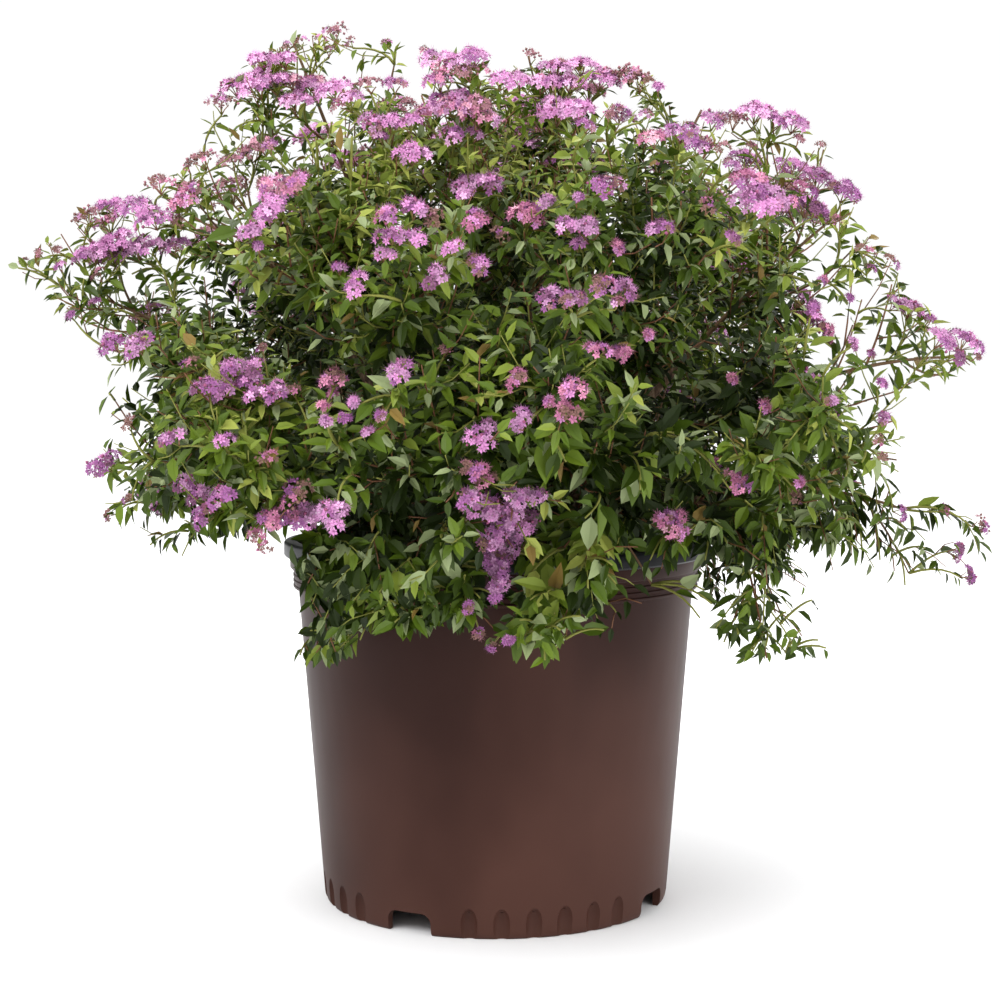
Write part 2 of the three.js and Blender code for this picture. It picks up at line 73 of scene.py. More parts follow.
STEEP = 0.95  # a way up steeper than this has no level side to take its bearing from
WORD = 0xFFFFFFFF  # the seeded stream counts in 32 bits
TINY = 1e-9  # keeps a division from meeting 0
WHOLE_TURN = 360.0


# ------------------------------------------------------------------ sizes of the part, mm


@dataclass(frozen=True)
class PotSizes:
    """The nursery pot's sizes, as in the part."""

    height: float = 241
    foot_radius: float = 115.7
    top_radius: float = 135
    wall: float = 2
    foot_inset: float = 2.5
    foot_height: float = 6
    skirt: float = 2.5
    lip_radius: float = 142
    lip_height: float = 10
    lip_round: float = 2
    band_radius: float = 138
    band_height: float = 8
    collar_radius: float = 136
    collar_height: float = 13
    floor_top: float = 17
    floor_thickness: float = 2.5
    notch_count: int = 4
    notch_width: float = 31
    notch_height: float = 14
    notch_depth: float = 40
    notch_bearing: float = 242

    def wall_radius(self, height: float) -> float:
        """The outside radius of the wall at a height."""
        return self.foot_radius + (self.top_radius - self.foot_radius) * height / self.height


@dataclass(frozen=True)
class LimbRule:
    """How side limbs spring from the limb below them, in mm and degrees."""

    longest: float
    shortest: float
    radius: float
    tip_radius: float
    rows: int
    spreads: tuple[float, float]
    first_leaf: float
    leaf_spacing: float
    shrink: float = 0.88
    elbow: float = 0.55
    reach: float = 0.92
    lift: float = 0.3


POT = PotSizes()
MIX_TOP, MIX_CREST = 215.0, 4.0
STOOL_RADIUS, STOOL_HEIGHT = 50.0, 24.0
GAP = 0.3  # between the wood of one solid of the part and the next
LENGTH_ROWS = 200  # into how many rows a curve is cut to measure it
INNER_GIRTH = 0.8  # how slim the spaces are, of their real girth, where depth in them counts
CROWN_CENTRE = np.array([0.0, 0.0, 255.0])
BOUGH_BASE, BOUGH_TIP, BOUGH_ENDS, BOUGH_ROWS = 4.6, 2.6, 0.42, 4
FOOT_RISES, FOOT_RADII = (-24.0, 85.0), (44.0, 5.0)
STEM_TWIGS, STEM_SIDES, STEM_ROWS, LAST_TWIG = 5, 4, 3, 0.85
HEAD_RADIUS, LEAF_LENGTH, LEAF_WIDTH = 23.0, 68.0, 35.0
END_ROOM, HEAD_ROOM, WIDTH_ROOM = 0.7, 0.8, 0.6  # shares of them that a limb's end leaves free
SPACE_GIRTH, SPACE_ENDS, SPACE_MARGIN = 112.0, 14.0, 0.5
SEED = 9000
HANGING_RISE = -2.0
TWIG = LimbRule(105, 24, 1.6, 1.4, 2, (74, 40), 0.15, 5.0)
SHOOT = LimbRule(60, 13, 0.8, 0.5, 3, (72, 36), 0.1, 3.1)
SPRIG = LimbRule(32, 9, 0.5, 0.35, 2, (66, 40), 0.1, 3.1)


@dataclass(frozen=True)
class Mass:
    """One mass of foliage: where it points, how far it reaches, and its share of blossom."""

    name: str
    bearing: float
    rise: float
    reach: float
    arch: float
    bloom: float


MASSES = (
    Mass("top", 10, 82, 318, 20, 1.0),
    Mass("crest_left", 184, 67, 358, 25, 1.0),
    Mass("crest_front", 262, 61, 306, 30, 0.9),
    Mass("crest_right", 350, 63, 315, 30, 1.0),
    Mass("crest_back", 86, 60, 305, 30, 0.9),
    Mass("shoulder_right_back", 32, 40, 335, 48, 0.8),
    Mass("shoulder_back", 90, 38, 328, 50, 0.7),
    Mass("shoulder_left_back", 148, 44, 330, 45, 0.8),
    Mass("shoulder_left_front", 203, 49, 342, 42, 0.8),
    Mass("shoulder_front_left", 249, 34, 312, 50, 0.6),
    Mass("shoulder_front_right", 295, 35, 314, 50, 0.6),
    Mass("shoulder_right_front", 341, 40, 352, 46, 0.8),
    Mass("flank_right", 5, 18, 350, 75, 0.6),
    Mass("flank_right_back", 61, 13, 336, 88, 0.4),
    Mass("flank_left_back", 119, 13, 338, 88, 0.4),
    Mass("flank_left", 179, 27, 366, 65, 0.8),
    Mass("flank_left_front", 226, 8, 305, 88, 0.5),
    Mass("flank_front", 272, 10, 297, 90, 0.5),
    Mass("flank_right_front", 318, 13, 308, 88, 0.5),
    Mass("skirt_right", 354, -4, 334, 95, 0.5),
    Mass("skirt_right_back", 32, -9, 275, 102, 0.3),
    Mass("skirt_back_right", 76, -11, 270, 105, 0.2),
    Mass("skirt_back_left", 112, -11, 270, 105, 0.2),
    Mass("skirt_left_back", 152, 3, 262, 92, 0.3),
    Mass("skirt_left", 199, 8, 290, 86, 0.5),
    Mass("skirt_front_left", 249, -12, 224, 112, 0.4),
    Mass("skirt_front_right", 295, -11, 226, 112, 0.4),
    Mass("skirt_right_front", 330, -10, 262, 104, 0.4),
)
TIERS = ("top_and_crest", "shoulder", "flank", "skirt")


class Tone(IntEnum):
    """What a placed shoot ends in: leaves, broad fresh leaves, or a corymb of this colour."""

    LEAF = 0
    BRIGHT = 1
    LILAC = 2
    PINK = 3
    DUSTY = 4
    BROAD = 5


B, L, P, D, F = Tone.BRIGHT, Tone.LILAC, Tone.PINK, Tone.DUSTY, Tone.BROAD

# Shoots that show on the best side: across and down the front view and how wide the cluster on
# them is, in thousandths of the view's side, and what they end in. Those with only a place end
# in leaves.
FRONT_SHOOTS: tuple[tuple[int, ...], ...] = (
    # crest, left
    (273, 62, 40, B), (235, 88, 34, L), (219, 107, 26, D), (262, 84, 48, B), (300, 84, 36, P),
    (322, 90, 44, B), (293, 106, 34, B), (350, 104, 28, L), (301, 43, 17, D), (286, 48, 12, D),
    (318, 40, 17, D), (335, 35, 24, D), (352, 44, 13, D), (328, 53, 16, D), (388, 44, 14, D),
    (370, 86, 26, D), (394, 87, 24, L), (425, 54, 14, D), (441, 63, 36, B), (473, 60, 32, B),
    (458, 72, 42, D), (440, 84, 28, L),
    # crest, middle
    (450, 101, 36, B), (463, 108, 42, P), (430, 118, 34, P), (478, 118, 34, P), (400, 126, 36, B),
    (374, 123, 28, L), (382, 139, 20, B), (453, 137, 26, B), (473, 137, 22, B), (411, 156, 34, B),
    (510, 82, 36, B), (531, 59, 20, D), (556, 69, 34, L), (583, 68, 30, B), (541, 86, 30, P),
    (560, 86, 36, B), (600, 81, 34, B), (620, 78, 38, D), (641, 84, 32, D), (659, 91, 18, B),
    (564, 112, 50, B), (586, 127, 22, L), (609, 118, 20, D), (643, 116, 20, D), (656, 140, 28, P),
    # crest, right
    (682, 134, 32, L), (699, 147, 28, L), (713, 123, 26, L), (735, 122, 28, D), (757, 114, 34, B),
    (794, 125, 30, B), (776, 122, 22, B), (720, 152, 22, D), (731, 168, 20, L), (751, 149, 14, D),
    (798, 142, 20, D), (820, 147, 14, D), (748, 183, 34, P), (756, 199, 52, B), (784, 203, 22, P),
    (821, 181, 34, B), (803, 189, 24, P), (845, 193, 34, L), (814, 212, 24, L), (837, 221, 14, D),
    # left
    (249, 154, 28, D), (269, 148, 22, L), (232, 164, 24, D), (203, 162, 28, D), (189, 170, 13, D),
    (192, 190, 24, D), (184, 203, 30, P), (158, 187, 26, D), (123, 208, 46, B), (86, 219, 28, D),
    (107, 226, 28, D), (153, 221, 32, B), (179, 223, 22, D), (90, 256, 34, B), (118, 250, 60, B),
    (142, 251, 36, B), (176, 251, 28, L), (41, 255, 12, D), (58, 250, 11, D), (27, 264, 8, D),
    (60, 268, 15, L), (28, 266, 14, F), (97, 304, 15, L), (73, 318, 17, L), (99, 277, 18, D),
    (126, 346, 42, L), (196, 367, 24, D), (283, 187, 46, P), (302, 181, 22, B), (273, 202, 34, B),
    (268, 215, 30, B), (252, 233, 26, B), (258, 249, 16, B), (128, 427, 20, D), (105, 465, 32, L),
    (111, 511, 18, D), (129, 498, 14, D), (150, 545), (182, 556), (110, 395),
    # middle
    (480, 187, 42, B), (462, 199, 20, B), (386, 219, 28, P), (412, 212, 30, B), (435, 219, 26, D),
    (401, 239, 38, B), (384, 254, 22, B), (475, 222, 28, P), (455, 249, 24, B), (437, 277, 28, B),
    (477, 264, 26, L), (501, 238, 24, D), (526, 218, 34, P), (544, 203, 22, B), (578, 229, 38, B),
    (578, 246, 20, B), (607, 189, 32, L), (578, 200, 10, L), (616, 250, 20, P), (660, 229, 26, L),
    (560, 301, 40, L), (609, 289, 40, L), (616, 306, 15, P), (647, 337, 14, P), (607, 354, 38, P),
    (444, 353, 14, D), (357, 288, 28, B), (339, 270, 18, L), (398, 374, 30, B), (520, 380, 26, P),
    (571, 389, 28, P), (567, 414, 28, P), (549, 405, 16, P), (482, 436, 32, B), (524, 420, 26, B),
    (733, 239, 20, L), (731, 380, 12, P), (764, 410, 20, P), (707, 209, 22, D),
    # lower left
    (242, 370, 38, B), (217, 389, 44, B), (267, 393, 38, B), (250, 384, 28, B), (294, 394, 20, D),
    (332, 381, 26, P), (331, 395, 18, P), (324, 408, 16, P), (354, 403, 19, B), (327, 424, 14, B),
    (345, 420, 16, L), (365, 432, 18, B), (381, 417, 14, L), (175, 440, 28, L), (223, 442, 22, L),
    (184, 484, 24, L), (212, 495, 38, B), (205, 516, 26, P), (268, 462, 24, D), (296, 494, 34, D),
    (322, 513, 46, B), (280, 519, 36, P), (262, 532, 26, D), (262, 352, 14, D),
    # the hanging cluster over the lip
    (473, 470, 26, P), (488, 480, 24, P), (466, 498, 26, L), (484, 506, 34, B), (524, 496, 36, B),
    (503, 512, 38, B), (520, 518, 32, L), (496, 526, 34, B), (513, 536, 30, B), (484, 538, 24, L),
    (500, 549, 28, L), (494, 562, 26, B), (498, 576, 26, L), (492, 590, 22, B), (467, 604, 17, L),
    (479, 628, 17, D), (495, 640, 16, D), (510, 638, 10, L),
    # right
    (866, 252, 22, D), (886, 263, 20, D), (868, 272, 12, D), (819, 282, 14, D), (813, 312, 22, L),
    (849, 298, 12, L), (893, 306, 20, L), (911, 311, 26, B), (929, 320, 18, L), (940, 341, 32, B),
    (966, 343, 32, L), (953, 355, 26, L), (974, 358, 14, D), (852, 344, 16, L), (868, 356, 16, L),
    (880, 386, 18, L), (831, 402, 15, L), (883, 421, 20, L), (878, 441, 14, D), (881, 457, 12, D),
    (671, 519, 34, P), (713, 463, 14, P), (735, 484, 30, P), (795, 481, 20, P), (793, 496, 20, D),
    (897, 508, 18, L), (943, 508, 16, D), (977, 522, 22, D), (953, 547, 22, L), (965, 573, 20, L),
    (905, 585),
    # leafy tips at the foot of the crown and over the lip
    (862, 548), (826, 648), (790, 640), (752, 652), (735, 620), (704, 590), (770, 600), (812, 600),
    (720, 470), (745, 500), (772, 470), (762, 530), (728, 545), (792, 520), (705, 560), (742, 575),
    (776, 560), (700, 520), (712, 604), (724, 642), (744, 660), (758, 628), (700, 618), (716, 628),
    (750, 604), (766, 646), (800, 630), (818, 640), (786, 612), (738, 634), (316, 138), (334, 146),
    (300, 128), (262, 118), (690, 480), (826, 440), (790, 440), (690, 440), (706, 432), (700, 455),
    (678, 455), (300, 655), (322, 644), (350, 656), (345, 585), (395, 622), (425, 590), (452, 610),
    (572, 600), (604, 630), (580, 616), (372, 612), (312, 600), (612, 565), (408, 560), (480, 598),
    (335, 625), (360, 640), (318, 570), (378, 580), (440, 560), (505, 645), (465, 575), (340, 555),
    (365, 560), (310, 630), (388, 600), (412, 612), (880, 560), (925, 548), (905, 530), (520, 620),
    (540, 640), (545, 660), (560, 630), (588, 590), (620, 590), (616, 612), (650, 560), (530, 600),
    (430, 620), (526, 580, 30, F), (548, 592, 30, F), (585, 518, 30, F), (566, 462, 30, F),
    (640, 490, 30, F), (690, 470, 30, F), (318, 548), (333, 541), (346, 552), (326, 560),
    (236, 212, 24, F), (345, 600, 24, F), (84, 279, 11, F), (132, 274, 12, F), (18, 268), (307, 560),
    (313, 575), (309, 590), (320, 562), (304, 572), (238, 126), (332, 122), (352, 136), (745, 448),
    (756, 460), (740, 462), (838, 452), (852, 430), (846, 476), (862, 462), (818, 516), (838, 536),
    (850, 556), (832, 498), (845, 520),
)


# The crown's outline in the front view, in thousandths of the view's side, clockwise from the
# leaf that reaches furthest left.
OUTLINE = (
    (3, 272), (40, 235), (76, 205), (125, 187), (165, 172), (190, 152), (203, 146), (204, 110),
    (216, 84), (242, 56), (276, 40), (300, 27), (345, 27), (362, 46), (386, 39), (420, 52),
    (442, 47), (480, 50), (502, 60), (530, 51), (560, 56), (595, 59), (640, 70), (665, 86),
    (676, 113), (700, 111), (736, 104), (772, 105), (812, 115), (832, 140), (862, 176),
    (863, 216), (886, 240), (906, 263), (914, 290), (938, 312), (984, 335), (986, 370),
    (930, 386), (904, 412), (912, 450), (905, 482), (940, 500), (990, 516), (994, 540),
    (978, 590), (930, 575), (862, 590), (834, 655), (736, 668), (702, 600), (688, 575),
    (655, 592), (640, 630), (606, 640), (578, 622), (556, 668), (520, 662), (480, 640),
    (440, 626), (405, 640), (376, 622), (346, 664), (292, 664), (304, 606), (294, 556),
    (270, 546), (200, 552), (135, 556), (98, 520), (86, 470), (106, 400), (95, 332), (62, 325),
    (30, 290),
)

# Where sky or pot shows through the crown in the front view: across, down, half the width and
# half the height, in the same measure, and the share of its shoots that is left out.
OPENINGS = (
    (918, 460, 74, 110, 0.8), (905, 330, 105, 90, 0.85), (850, 285, 62, 100, 0.78),
    (775, 635, 110, 80, 0.76), (900, 575, 120, 60, 0.85), (860, 235, 66, 70, 0.8),
    (805, 165, 100, 66, 0.9), (715, 135, 60, 50, 0.8), (225, 125, 40, 50, 0.62),
    (238, 202, 62, 44, 0.8),
    (285, 130, 60, 50, 0.58), (375, 60, 50, 34, 0.85), (320, 60, 60, 40, 0.8),
    (200, 195, 70, 50, 0.75), (90, 240, 100, 60, 0.85), (105, 340, 60, 60, 0.75),
    (100, 440, 60, 90, 0.65), (130, 530, 80, 40, 0.65), (345, 150, 24, 30, 0.7),
    (440, 70, 75, 46, 0.8), (575, 76, 75, 34, 0.7), (640, 90, 60, 40, 0.7),
    (650, 590, 56, 60, 0.92), (430, 645, 60, 26, 0.6),
)
EDGE_DEPTH, EDGE_OPEN = 45.0, 0.55
FADE = 2.5  # how sharply an opening or a patch sets in from its edge

# Patches of painted light and painted shade, where the front view's greens are lighter or darker
# than the rule makes them: across, down, half the width and half the height, and the shift of their
# level.
PAINTED_LIGHT_PATCHES = (
    (650, 240, 75, 90, -0.2), (570, 370, 75, 50, -0.16), (650, 450, 70, 60, -0.24),
    (400, 465, 90, 60, -0.16), (745, 375, 50, 40, -0.2), (560, 290, 60, 50, -0.12),
    (250, 375, 70, 55, 0.34), (350, 345, 60, 80, 0.16), (550, 545, 60, 60, 0.36),
    (460, 145, 110, 45, 0.32), (560, 145, 70, 45, 0.2), (245, 215, 50, 40, 0.22),
    (750, 470, 55, 45, 0.14), (240, 470, 60, 40, 0.16),
)
PAINTED_SHADE_LIMIT = -0.08  # in a patch of painted shade darker than this, placed shoots take the shadier greens
HANG_DROP = 12.0  # how far below the pot's top a tip is that hangs free beside it
HEAD_RISE = 0.3  # how far a head's florets stand above its foot, as a share of its width
HEAD_UP, HEAD_OUT, HEAD_ALONG = 0.75, 0.85, 0.3  # which ways a head faces, and by how much
LOW_HEAD_UP, LOW_HEAD_OUT = 0.25, 1.1
LEAF_ROOM = 8.0


# ------------------------------------------------------------------ small helpers


class Seeded:
    """A stream of numbers from 0 to 1 that is the same for the same seed."""

    def __init__(self, seed: int) -> None:
        self.state = seed & WORD

    def __call__(self) -> float:
        """The next number."""
        self.state = (self.state + 0x6D2B79F5) & WORD
        mixed = ((self.state ^ (self.state >> 15)) * (self.state | 1)) & WORD
        mixed ^= (mixed + (((mixed ^ (mixed >> 7)) * (mixed | 61)) & WORD)) & WORD
        return (mixed ^ (mixed >> 14)) / (WORD + 1)

    def between(self, low: float, high: float) -> float:
        """The next number, spread from low to high."""
        return low + (high - low) * self()

    def sway(self, most: float) -> float:
        """The next number, spread as far below 0 as above it."""
        return self.between(-most, most)


class Stream(IntEnum):
    """The multiples of the seed that keep the streams of numbers apart."""

    STEMS = 1
    SHOOTS = 3
    SPRIGS = 5
    PLACED = 7
    ENDS = 11
    CHIPS = 13
    PLACED_SPRIGS = 17
    INNER = 19

    def start(self, number: int = 0) -> Seeded:
        """The stream for the limb or mass of this number."""
        return Seeded(SEED * self + number)


def lerp(low: float, high: float, share: float) -> float:
    """The number at a share of the way from low to high."""
    return low + (high - low) * share


def within(value: float) -> float:
    """The number, or 0 where it is below 0 and 1 where it is above 1."""
    return min(max(value, 0), 1)


def unit(vector: Array) -> Array:
    """The vector made one long."""
    return vector / np.linalg.norm(vector)


def units(vectors: Array) -> Array:
    """Each row made one long."""
    return vectors / np.maximum(np.linalg.norm(vectors, axis=1, keepdims=True), TINY)


def heading(bearing: float, rise: float) -> Array:
    """The unit vector at a bearing from +X and a rise, both in degrees."""
    b, r = math.radians(bearing), math.radians(rise)
    return np.array([math.cos(b) * math.cos(r), math.sin(b) * math.cos(r), math.sin(r)])


def square_to(vector: Array, axis: Array) -> Array:
    """The part of a vector that is square to a unit axis, one long."""
    return unit(vector - axis * (vector @ axis))


def beside_pot(places: Array, above: float, aside: float) -> Array:
    """Which places stand this far above the pot, or this far outside its lip."""
    flat = np.linalg.norm(places[:, :2], axis=1)
    return (places[:, 2] > POT.height + above) | (flat > POT.lip_radius + aside)


def upright_to(axis: Array) -> Array:
    """A unit vector square to a unit axis, as near to straight up as it can be."""
    return square_to(EAST if abs(axis[2]) > STEEP else UP, axis)


def square_pair(axis: Array) -> tuple[Array, Array]:
    """Two unit vectors square to a unit axis and to each other."""
    right = upright_to(axis)
    return right, np.cross(axis, right)


def leaning(way: Array, side: Array, angle: float) -> Array:
    """A unit way leant by an angle in radians towards another that is square to it."""
    return way * math.cos(angle) + side * math.sin(angle)


def face_of(along: Array, sides: int, rank: float) -> Array:
    """The way out through the middle of one of a limb's faces, square to the limb."""
    turn = (rank + 0.5) * 2 * math.pi / sides
    return leaning(*square_pair(along), turn)


@dataclass(frozen=True)
class Arc:
    """A bent curve from a foot to a tip, drawn towards a middle point."""

    foot: Array
    middle: Array
    tip: Array

    def points(self, start: float, end: float, rows: int) -> Array:
        """The places that cut a stretch of the curve into rows."""
        t = np.linspace(start, end, rows + 1)[:, None]
        return (1 - t) ** 2 * self.foot + 2 * (1 - t) * t * self.middle + t**2 * self.tip

    def length(self) -> float:
        """The length of the curve."""
        return path_length(self.points(0, 1, LENGTH_ROWS))


def path_length(points: Array) -> float:
    """The length of a line through points."""
    return float(np.linalg.norm(np.diff(points, axis=0), axis=1).sum())


def on_path(points: Array, share: float) -> tuple[Array, Array]:
    """The place and the way along at a share of a path's rows."""
    rows = len(points) - 1
    row = min(int(share * rows), rows - 1)
    step = points[row + 1] - points[row]
    return points[row] + step * (share * rows - row), unit(step)


def segment_gaps(a0: Array, a1: Array, b0: Array, b1: Array) -> Array:
    """The least distances between one segment and each of many.

    Args:
        a0: Start of the one segment.
        a1: End of the one segment.
        b0: Starts of the many, one a row.
        b1: Ends of the many.

    Returns:
        One distance for each of the many.
    """
    u, v, w = a1 - a0, b1 - b0, a0 - b0
    uu, uv, vv = u @ u, v @ u, (v * v).sum(1)
    uw, vw = w @ u, (v * w).sum(1)
    spread = uu * vv - uv * uv
    s = np.where(spread > TINY, (uv * vw - vv * uw) / np.maximum(spread, TINY), 0).clip(0, 1)
    t = ((uv * s + vw) / vv).clip(0, 1)
    s = ((uv * t - uw) / uu).clip(0, 1)
    return np.linalg.norm(w + u * s[:, None] - v * t[:, None], axis=1)


# ------------------------------------------------------------------ finishes


def light_of(colour: int) -> tuple[float, float, float, float]:
    """A screen colour such as 0x4C6B2B as the light values that a shader takes."""
    parts = [(colour >> shift & 255) / 255 for shift in (16, 8, 0)]
    linear = [p / 12.92 if p < 0.04045 else ((p + 0.055) / 1.055) ** 2.4 for p in parts]
    return linear[0], linear[1], linear[2], 1.0


class Sheet:
    """A material's node tree, with short ways to add and join nodes."""

    def __init__(self, name: str) -> None:
        self.material = bpy.data.materials.new(name)
        self.material.use_nodes = True
        self.tree = self.material.node_tree
        self.shader = self.tree.nodes["Principled BSDF"]

    def node(self, kind: str, **values: object) -> bpy.types.Node:
        """Adds a node, and sets its inputs by name with _ for each blank."""
        made = self.tree.nodes.new(kind)
        for name, value in values.items():
            made.inputs[name.replace("_", " ")].default_value = value
        return made

    def join(self, out: bpy.types.NodeSocket, into: bpy.types.NodeSocket) -> None:
        """Links one socket to another."""
        self.tree.links.new(out, into)

    def place(self) -> bpy.types.NodeSocket:
        """The surface's place in the object's own frame, in metres."""
        return self.node("ShaderNodeTexCoord").outputs["Object"]

    def noise(self, scale: float, detail: float, stretch: Sequence[float]
              ) -> bpy.types.NodeSocket:
        """A noise with this many features to the metre, stretched along each axis."""
        mapping = self.node("ShaderNodeMapping", Scale=tuple(stretch))
        self.join(self.place(), mapping.inputs["Vector"])
        noise = self.node("ShaderNodeTexNoise", Scale=scale, Detail=detail)
        self.join(mapping.outputs["Vector"], noise.inputs["Vector"])
        return noise.outputs["Fac"]

    def ramp(self, value: bpy.types.NodeSocket, stops: Iterable[tuple[float, int]]
             ) -> bpy.types.NodeSocket:
        """Colours by a value, from (position, colour) stops."""
        ramp = self.node("ShaderNodeValToRGB")
        elements = ramp.color_ramp.elements
        for index, (position, colour) in enumerate(stops):
            stop = elements[index] if index < 2 else elements.new(position)
            stop.position, stop.color = position, light_of(colour)
        self.join(value, ramp.inputs["Fac"])
        return ramp.outputs["Color"]

    def paler_below(self, value: bpy.types.NodeSocket, top: float, rise: float
                    ) -> bpy.types.NodeSocket:
        """A value that grows by rise from a height in metres down to the floor."""
        parts = self.node("ShaderNodeSeparateXYZ")
        self.join(self.place(), parts.inputs["Vector"])
        fall = self.node("ShaderNodeMapRange", From_Max=top, To_Min=rise, To_Max=0.0)
        self.join(parts.outputs["Z"], fall.inputs["Value"])
        total = self.node("ShaderNodeMath")
        self.join(value, total.inputs[0])
        self.join(fall.outputs["Result"], total.inputs[1])
        return total.outputs["Value"]

    def spread(self, value: bpy.types.NodeSocket, low: float, high: float
               ) -> bpy.types.NodeSocket:
        """A value from 0 to 1 spread from low to high."""
        spread = self.node("ShaderNodeMapRange", To_Min=low, To_Max=high)
        self.join(value, spread.inputs["Value"])
        return spread.outputs["Result"]

    def bump(self, height: bpy.types.NodeSocket, strength: float, depth: float,
             under: bpy.types.NodeSocket | None = None) -> bpy.types.NodeSocket:
        """A bump of a height in metres, over another bump if there is one."""
        bump = self.node("ShaderNodeBump", Strength=strength, Distance=depth)
        self.join(height, bump.inputs["Height"])
        if under is not None:
            self.join(under, bump.inputs["Normal"])
        return bump.outputs["Normal"]


class Noise(NamedTuple):
    """A cloudy noise: its features to the metre, its detail, and its stretch along each axis."""

    scale: float
    detail: float
    stretch: tuple[float, float, float] = (1, 1, 1)


@dataclass(frozen=True)
class Plain:
    """A finish of one colour, for leaves, petals and young twigs, dealt out spray by spray."""

    name: str
    colour: int
    roughness: float = 0.5
    gloss: float = 0.4

    def material(self) -> bpy.types.Material:
        """Makes the material."""
        sheet = Sheet(self.name)
        sheet.shader.inputs["Base Color"].default_value = light_of(self.colour)
        sheet.shader.inputs["Roughness"].default_value = self.roughness
        sheet.shader.inputs["Specular IOR Level"].default_value = self.gloss
        sheet.material.diffuse_color = light_of(self.colour)
        return sheet.material


@dataclass(frozen=True)
class Moulded:
    """Moulded pot plastic: mottled colour, an uneven sheen, a fine grain, and any painted bounce
    light.
    """

    name: str
    dark: int
    mid: int
    light: int
    roughness: tuple[float, float]
    gloss: float
    # Painted light: how much paler the colour grows from a height down to the floor, standing in for
    # light bounced off the floor, so that the top stays darker as painted shade under the crown.
    painted_bounce_light: float = 0.0
    painted_bounce_top: float = 0.25
    clouds: Noise = Noise(7, 3, (1, 1, 0.6))
    scuffs: Noise = Noise(38, 6, (1, 1, 0.35))
    grain: Noise = Noise(1400, 2)
    waves: Noise = Noise(26, 2, (1, 1, 0.3))
    strength: float = 0.35
    grain_depth: float = 0.0001
    wave_depth: float = 0.0012

    def material(self) -> bpy.types.Material:
        """Makes the material."""
        sheet = Sheet(self.name)
        # Painted bounce light: the mottled colour grows paler towards the floor.
        clouds = sheet.paler_below(sheet.noise(*self.clouds), self.painted_bounce_top, self.painted_bounce_light)
        stops = ((0.35, self.dark), (0.9, self.light), (0.6, self.mid))
        sheet.join(sheet.ramp(clouds, stops), sheet.shader.inputs["Base Color"])
        scuffs = sheet.noise(*self.scuffs)
        sheet.join(sheet.spread(scuffs, *self.roughness), sheet.shader.inputs["Roughness"])
        grain = sheet.bump(sheet.noise(*self.grain), self.strength, self.grain_depth)
        waves = sheet.bump(sheet.noise(*self.waves), self.strength, self.wave_depth, grain)
        sheet.join(waves, sheet.shader.inputs["Normal"])
        sheet.shader.inputs["Specular IOR Level"].default_value = self.gloss
        return sheet.material


@dataclass(frozen=True)
class Earthy:
    """A rough natural finish: streaked or blotched colour over a coarse and a fine relief."""

    name: str
    dark: int
    mid: int
    light: int
    scale: float
    stretch: tuple[float, float, float] = (1, 1, 1)
    relief: float = 0.0006
    roughness: tuple[float, float] = (0.78, 0.96)
    gloss: float = 0.25
    finer: float = 6.0
    strengths: tuple[float, float] = (0.5, 0.6)

    def material(self) -> bpy.types.Material:
        """Makes the material."""
        sheet = Sheet(self.name)
        blotches = sheet.noise(self.scale, 6, self.stretch)
        stops = ((0.32, self.dark), (0.72, self.light), (0.52, self.mid))
        sheet.join(sheet.ramp(blotches, stops), sheet.shader.inputs["Base Color"])
        sheet.join(sheet.spread(blotches, *self.roughness), sheet.shader.inputs["Roughness"])
        cracks = sheet.noise(self.scale * self.finer, 4, self.stretch)
        fine = sheet.bump(cracks, self.strengths[0], self.relief / 2)
        coarse = sheet.bump(blotches, self.strengths[1], self.relief, fine)
        sheet.join(coarse, sheet.shader.inputs["Normal"])
        sheet.shader.inputs["Specular IOR Level"].default_value = self.gloss
        return sheet.material


# The pot's body grows paler towards the floor as painted bounce light, and stays darker at the top
# as painted shade under the crown.
POT_BODY = Moulded("pot_brown", 0x25120E, 0x2F1A15, 0x452C25, (0.36, 0.5), 0.1, 0.36)
POT_LIP = Moulded("pot_lip_charcoal", 0x0E1013, 0x14161A, 0x1C1E23, (0.3, 0.45), 0.2)
MIX_FINISH = Earthy("potting_mix", 0x120C08, 0x2A1D14, 0x4A3524, 260, (1, 1, 1), 0.002)
CHIP_FINISH = Earthy("bark_chips", 0x23170F, 0x3D2A1C, 0x5B4330, 180, (1, 1, 3), 0.0008)
BARK_FINISH = Earthy("shrub_bark", 0x2E211A, 0x584536, 0x8A7660, 420, (1, 1, 0.25), 0.0005)
# Plain greens from light to dark. Besides the leaves' own variation they are lit and shaded copies:
# the lighter ones go where painted light falls, the darker ones inside the crown as painted shade.
LEAF_FINISHES = (
    Plain("leaf_young", 0x8F9746, 0.48, 0.18),
    Plain("leaf_spring", 0x6E7D2C, 0.48, 0.2),
    Plain("leaf_fresh", 0x566A18, 0.46, 0.22),
    Plain("leaf_mid", 0x445812, 0.45, 0.22),
    Plain("leaf_deep", 0x2F4008, 0.45, 0.22),
    Plain("leaf_shade", 0x1A2703, 0.5, 0.18),
    # A pale silvery green: partly the leaves' own glaucous colour, partly a painted sheen highlight.
    Plain("leaf_silver", 0x818D62, 0.44, 0.24),
    Plain("leaf_bronze", 0x74602F, 0.5, 0.2),
)
FLOOR_FINISH = Plain("studio_white", 0xECECED, 0.8, 0.2)
LIT_YOUNG, LIT_SPRING, LIT_FRESH, MID, DEEP, SHADE, SILVER_AND_SHEEN, BRONZE = range(len(LEAF_FINISHES))
TWIG_FINISHES = (
    Plain("twig_brown", 0x5C4630, 0.7, 0.2),
    Plain("twig_red", 0x6E4A34, 0.6, 0.2),
    Plain("twig_green", 0x7A7C3A, 0.55, 0.2),
    Plain("stalk_pink", 0x8F6A55, 0.6, 0.2),
)
TWIG_BROWN, TWIG_RED, TWIG_GREEN, STALK_PINK = range(len(TWIG_FINISHES))
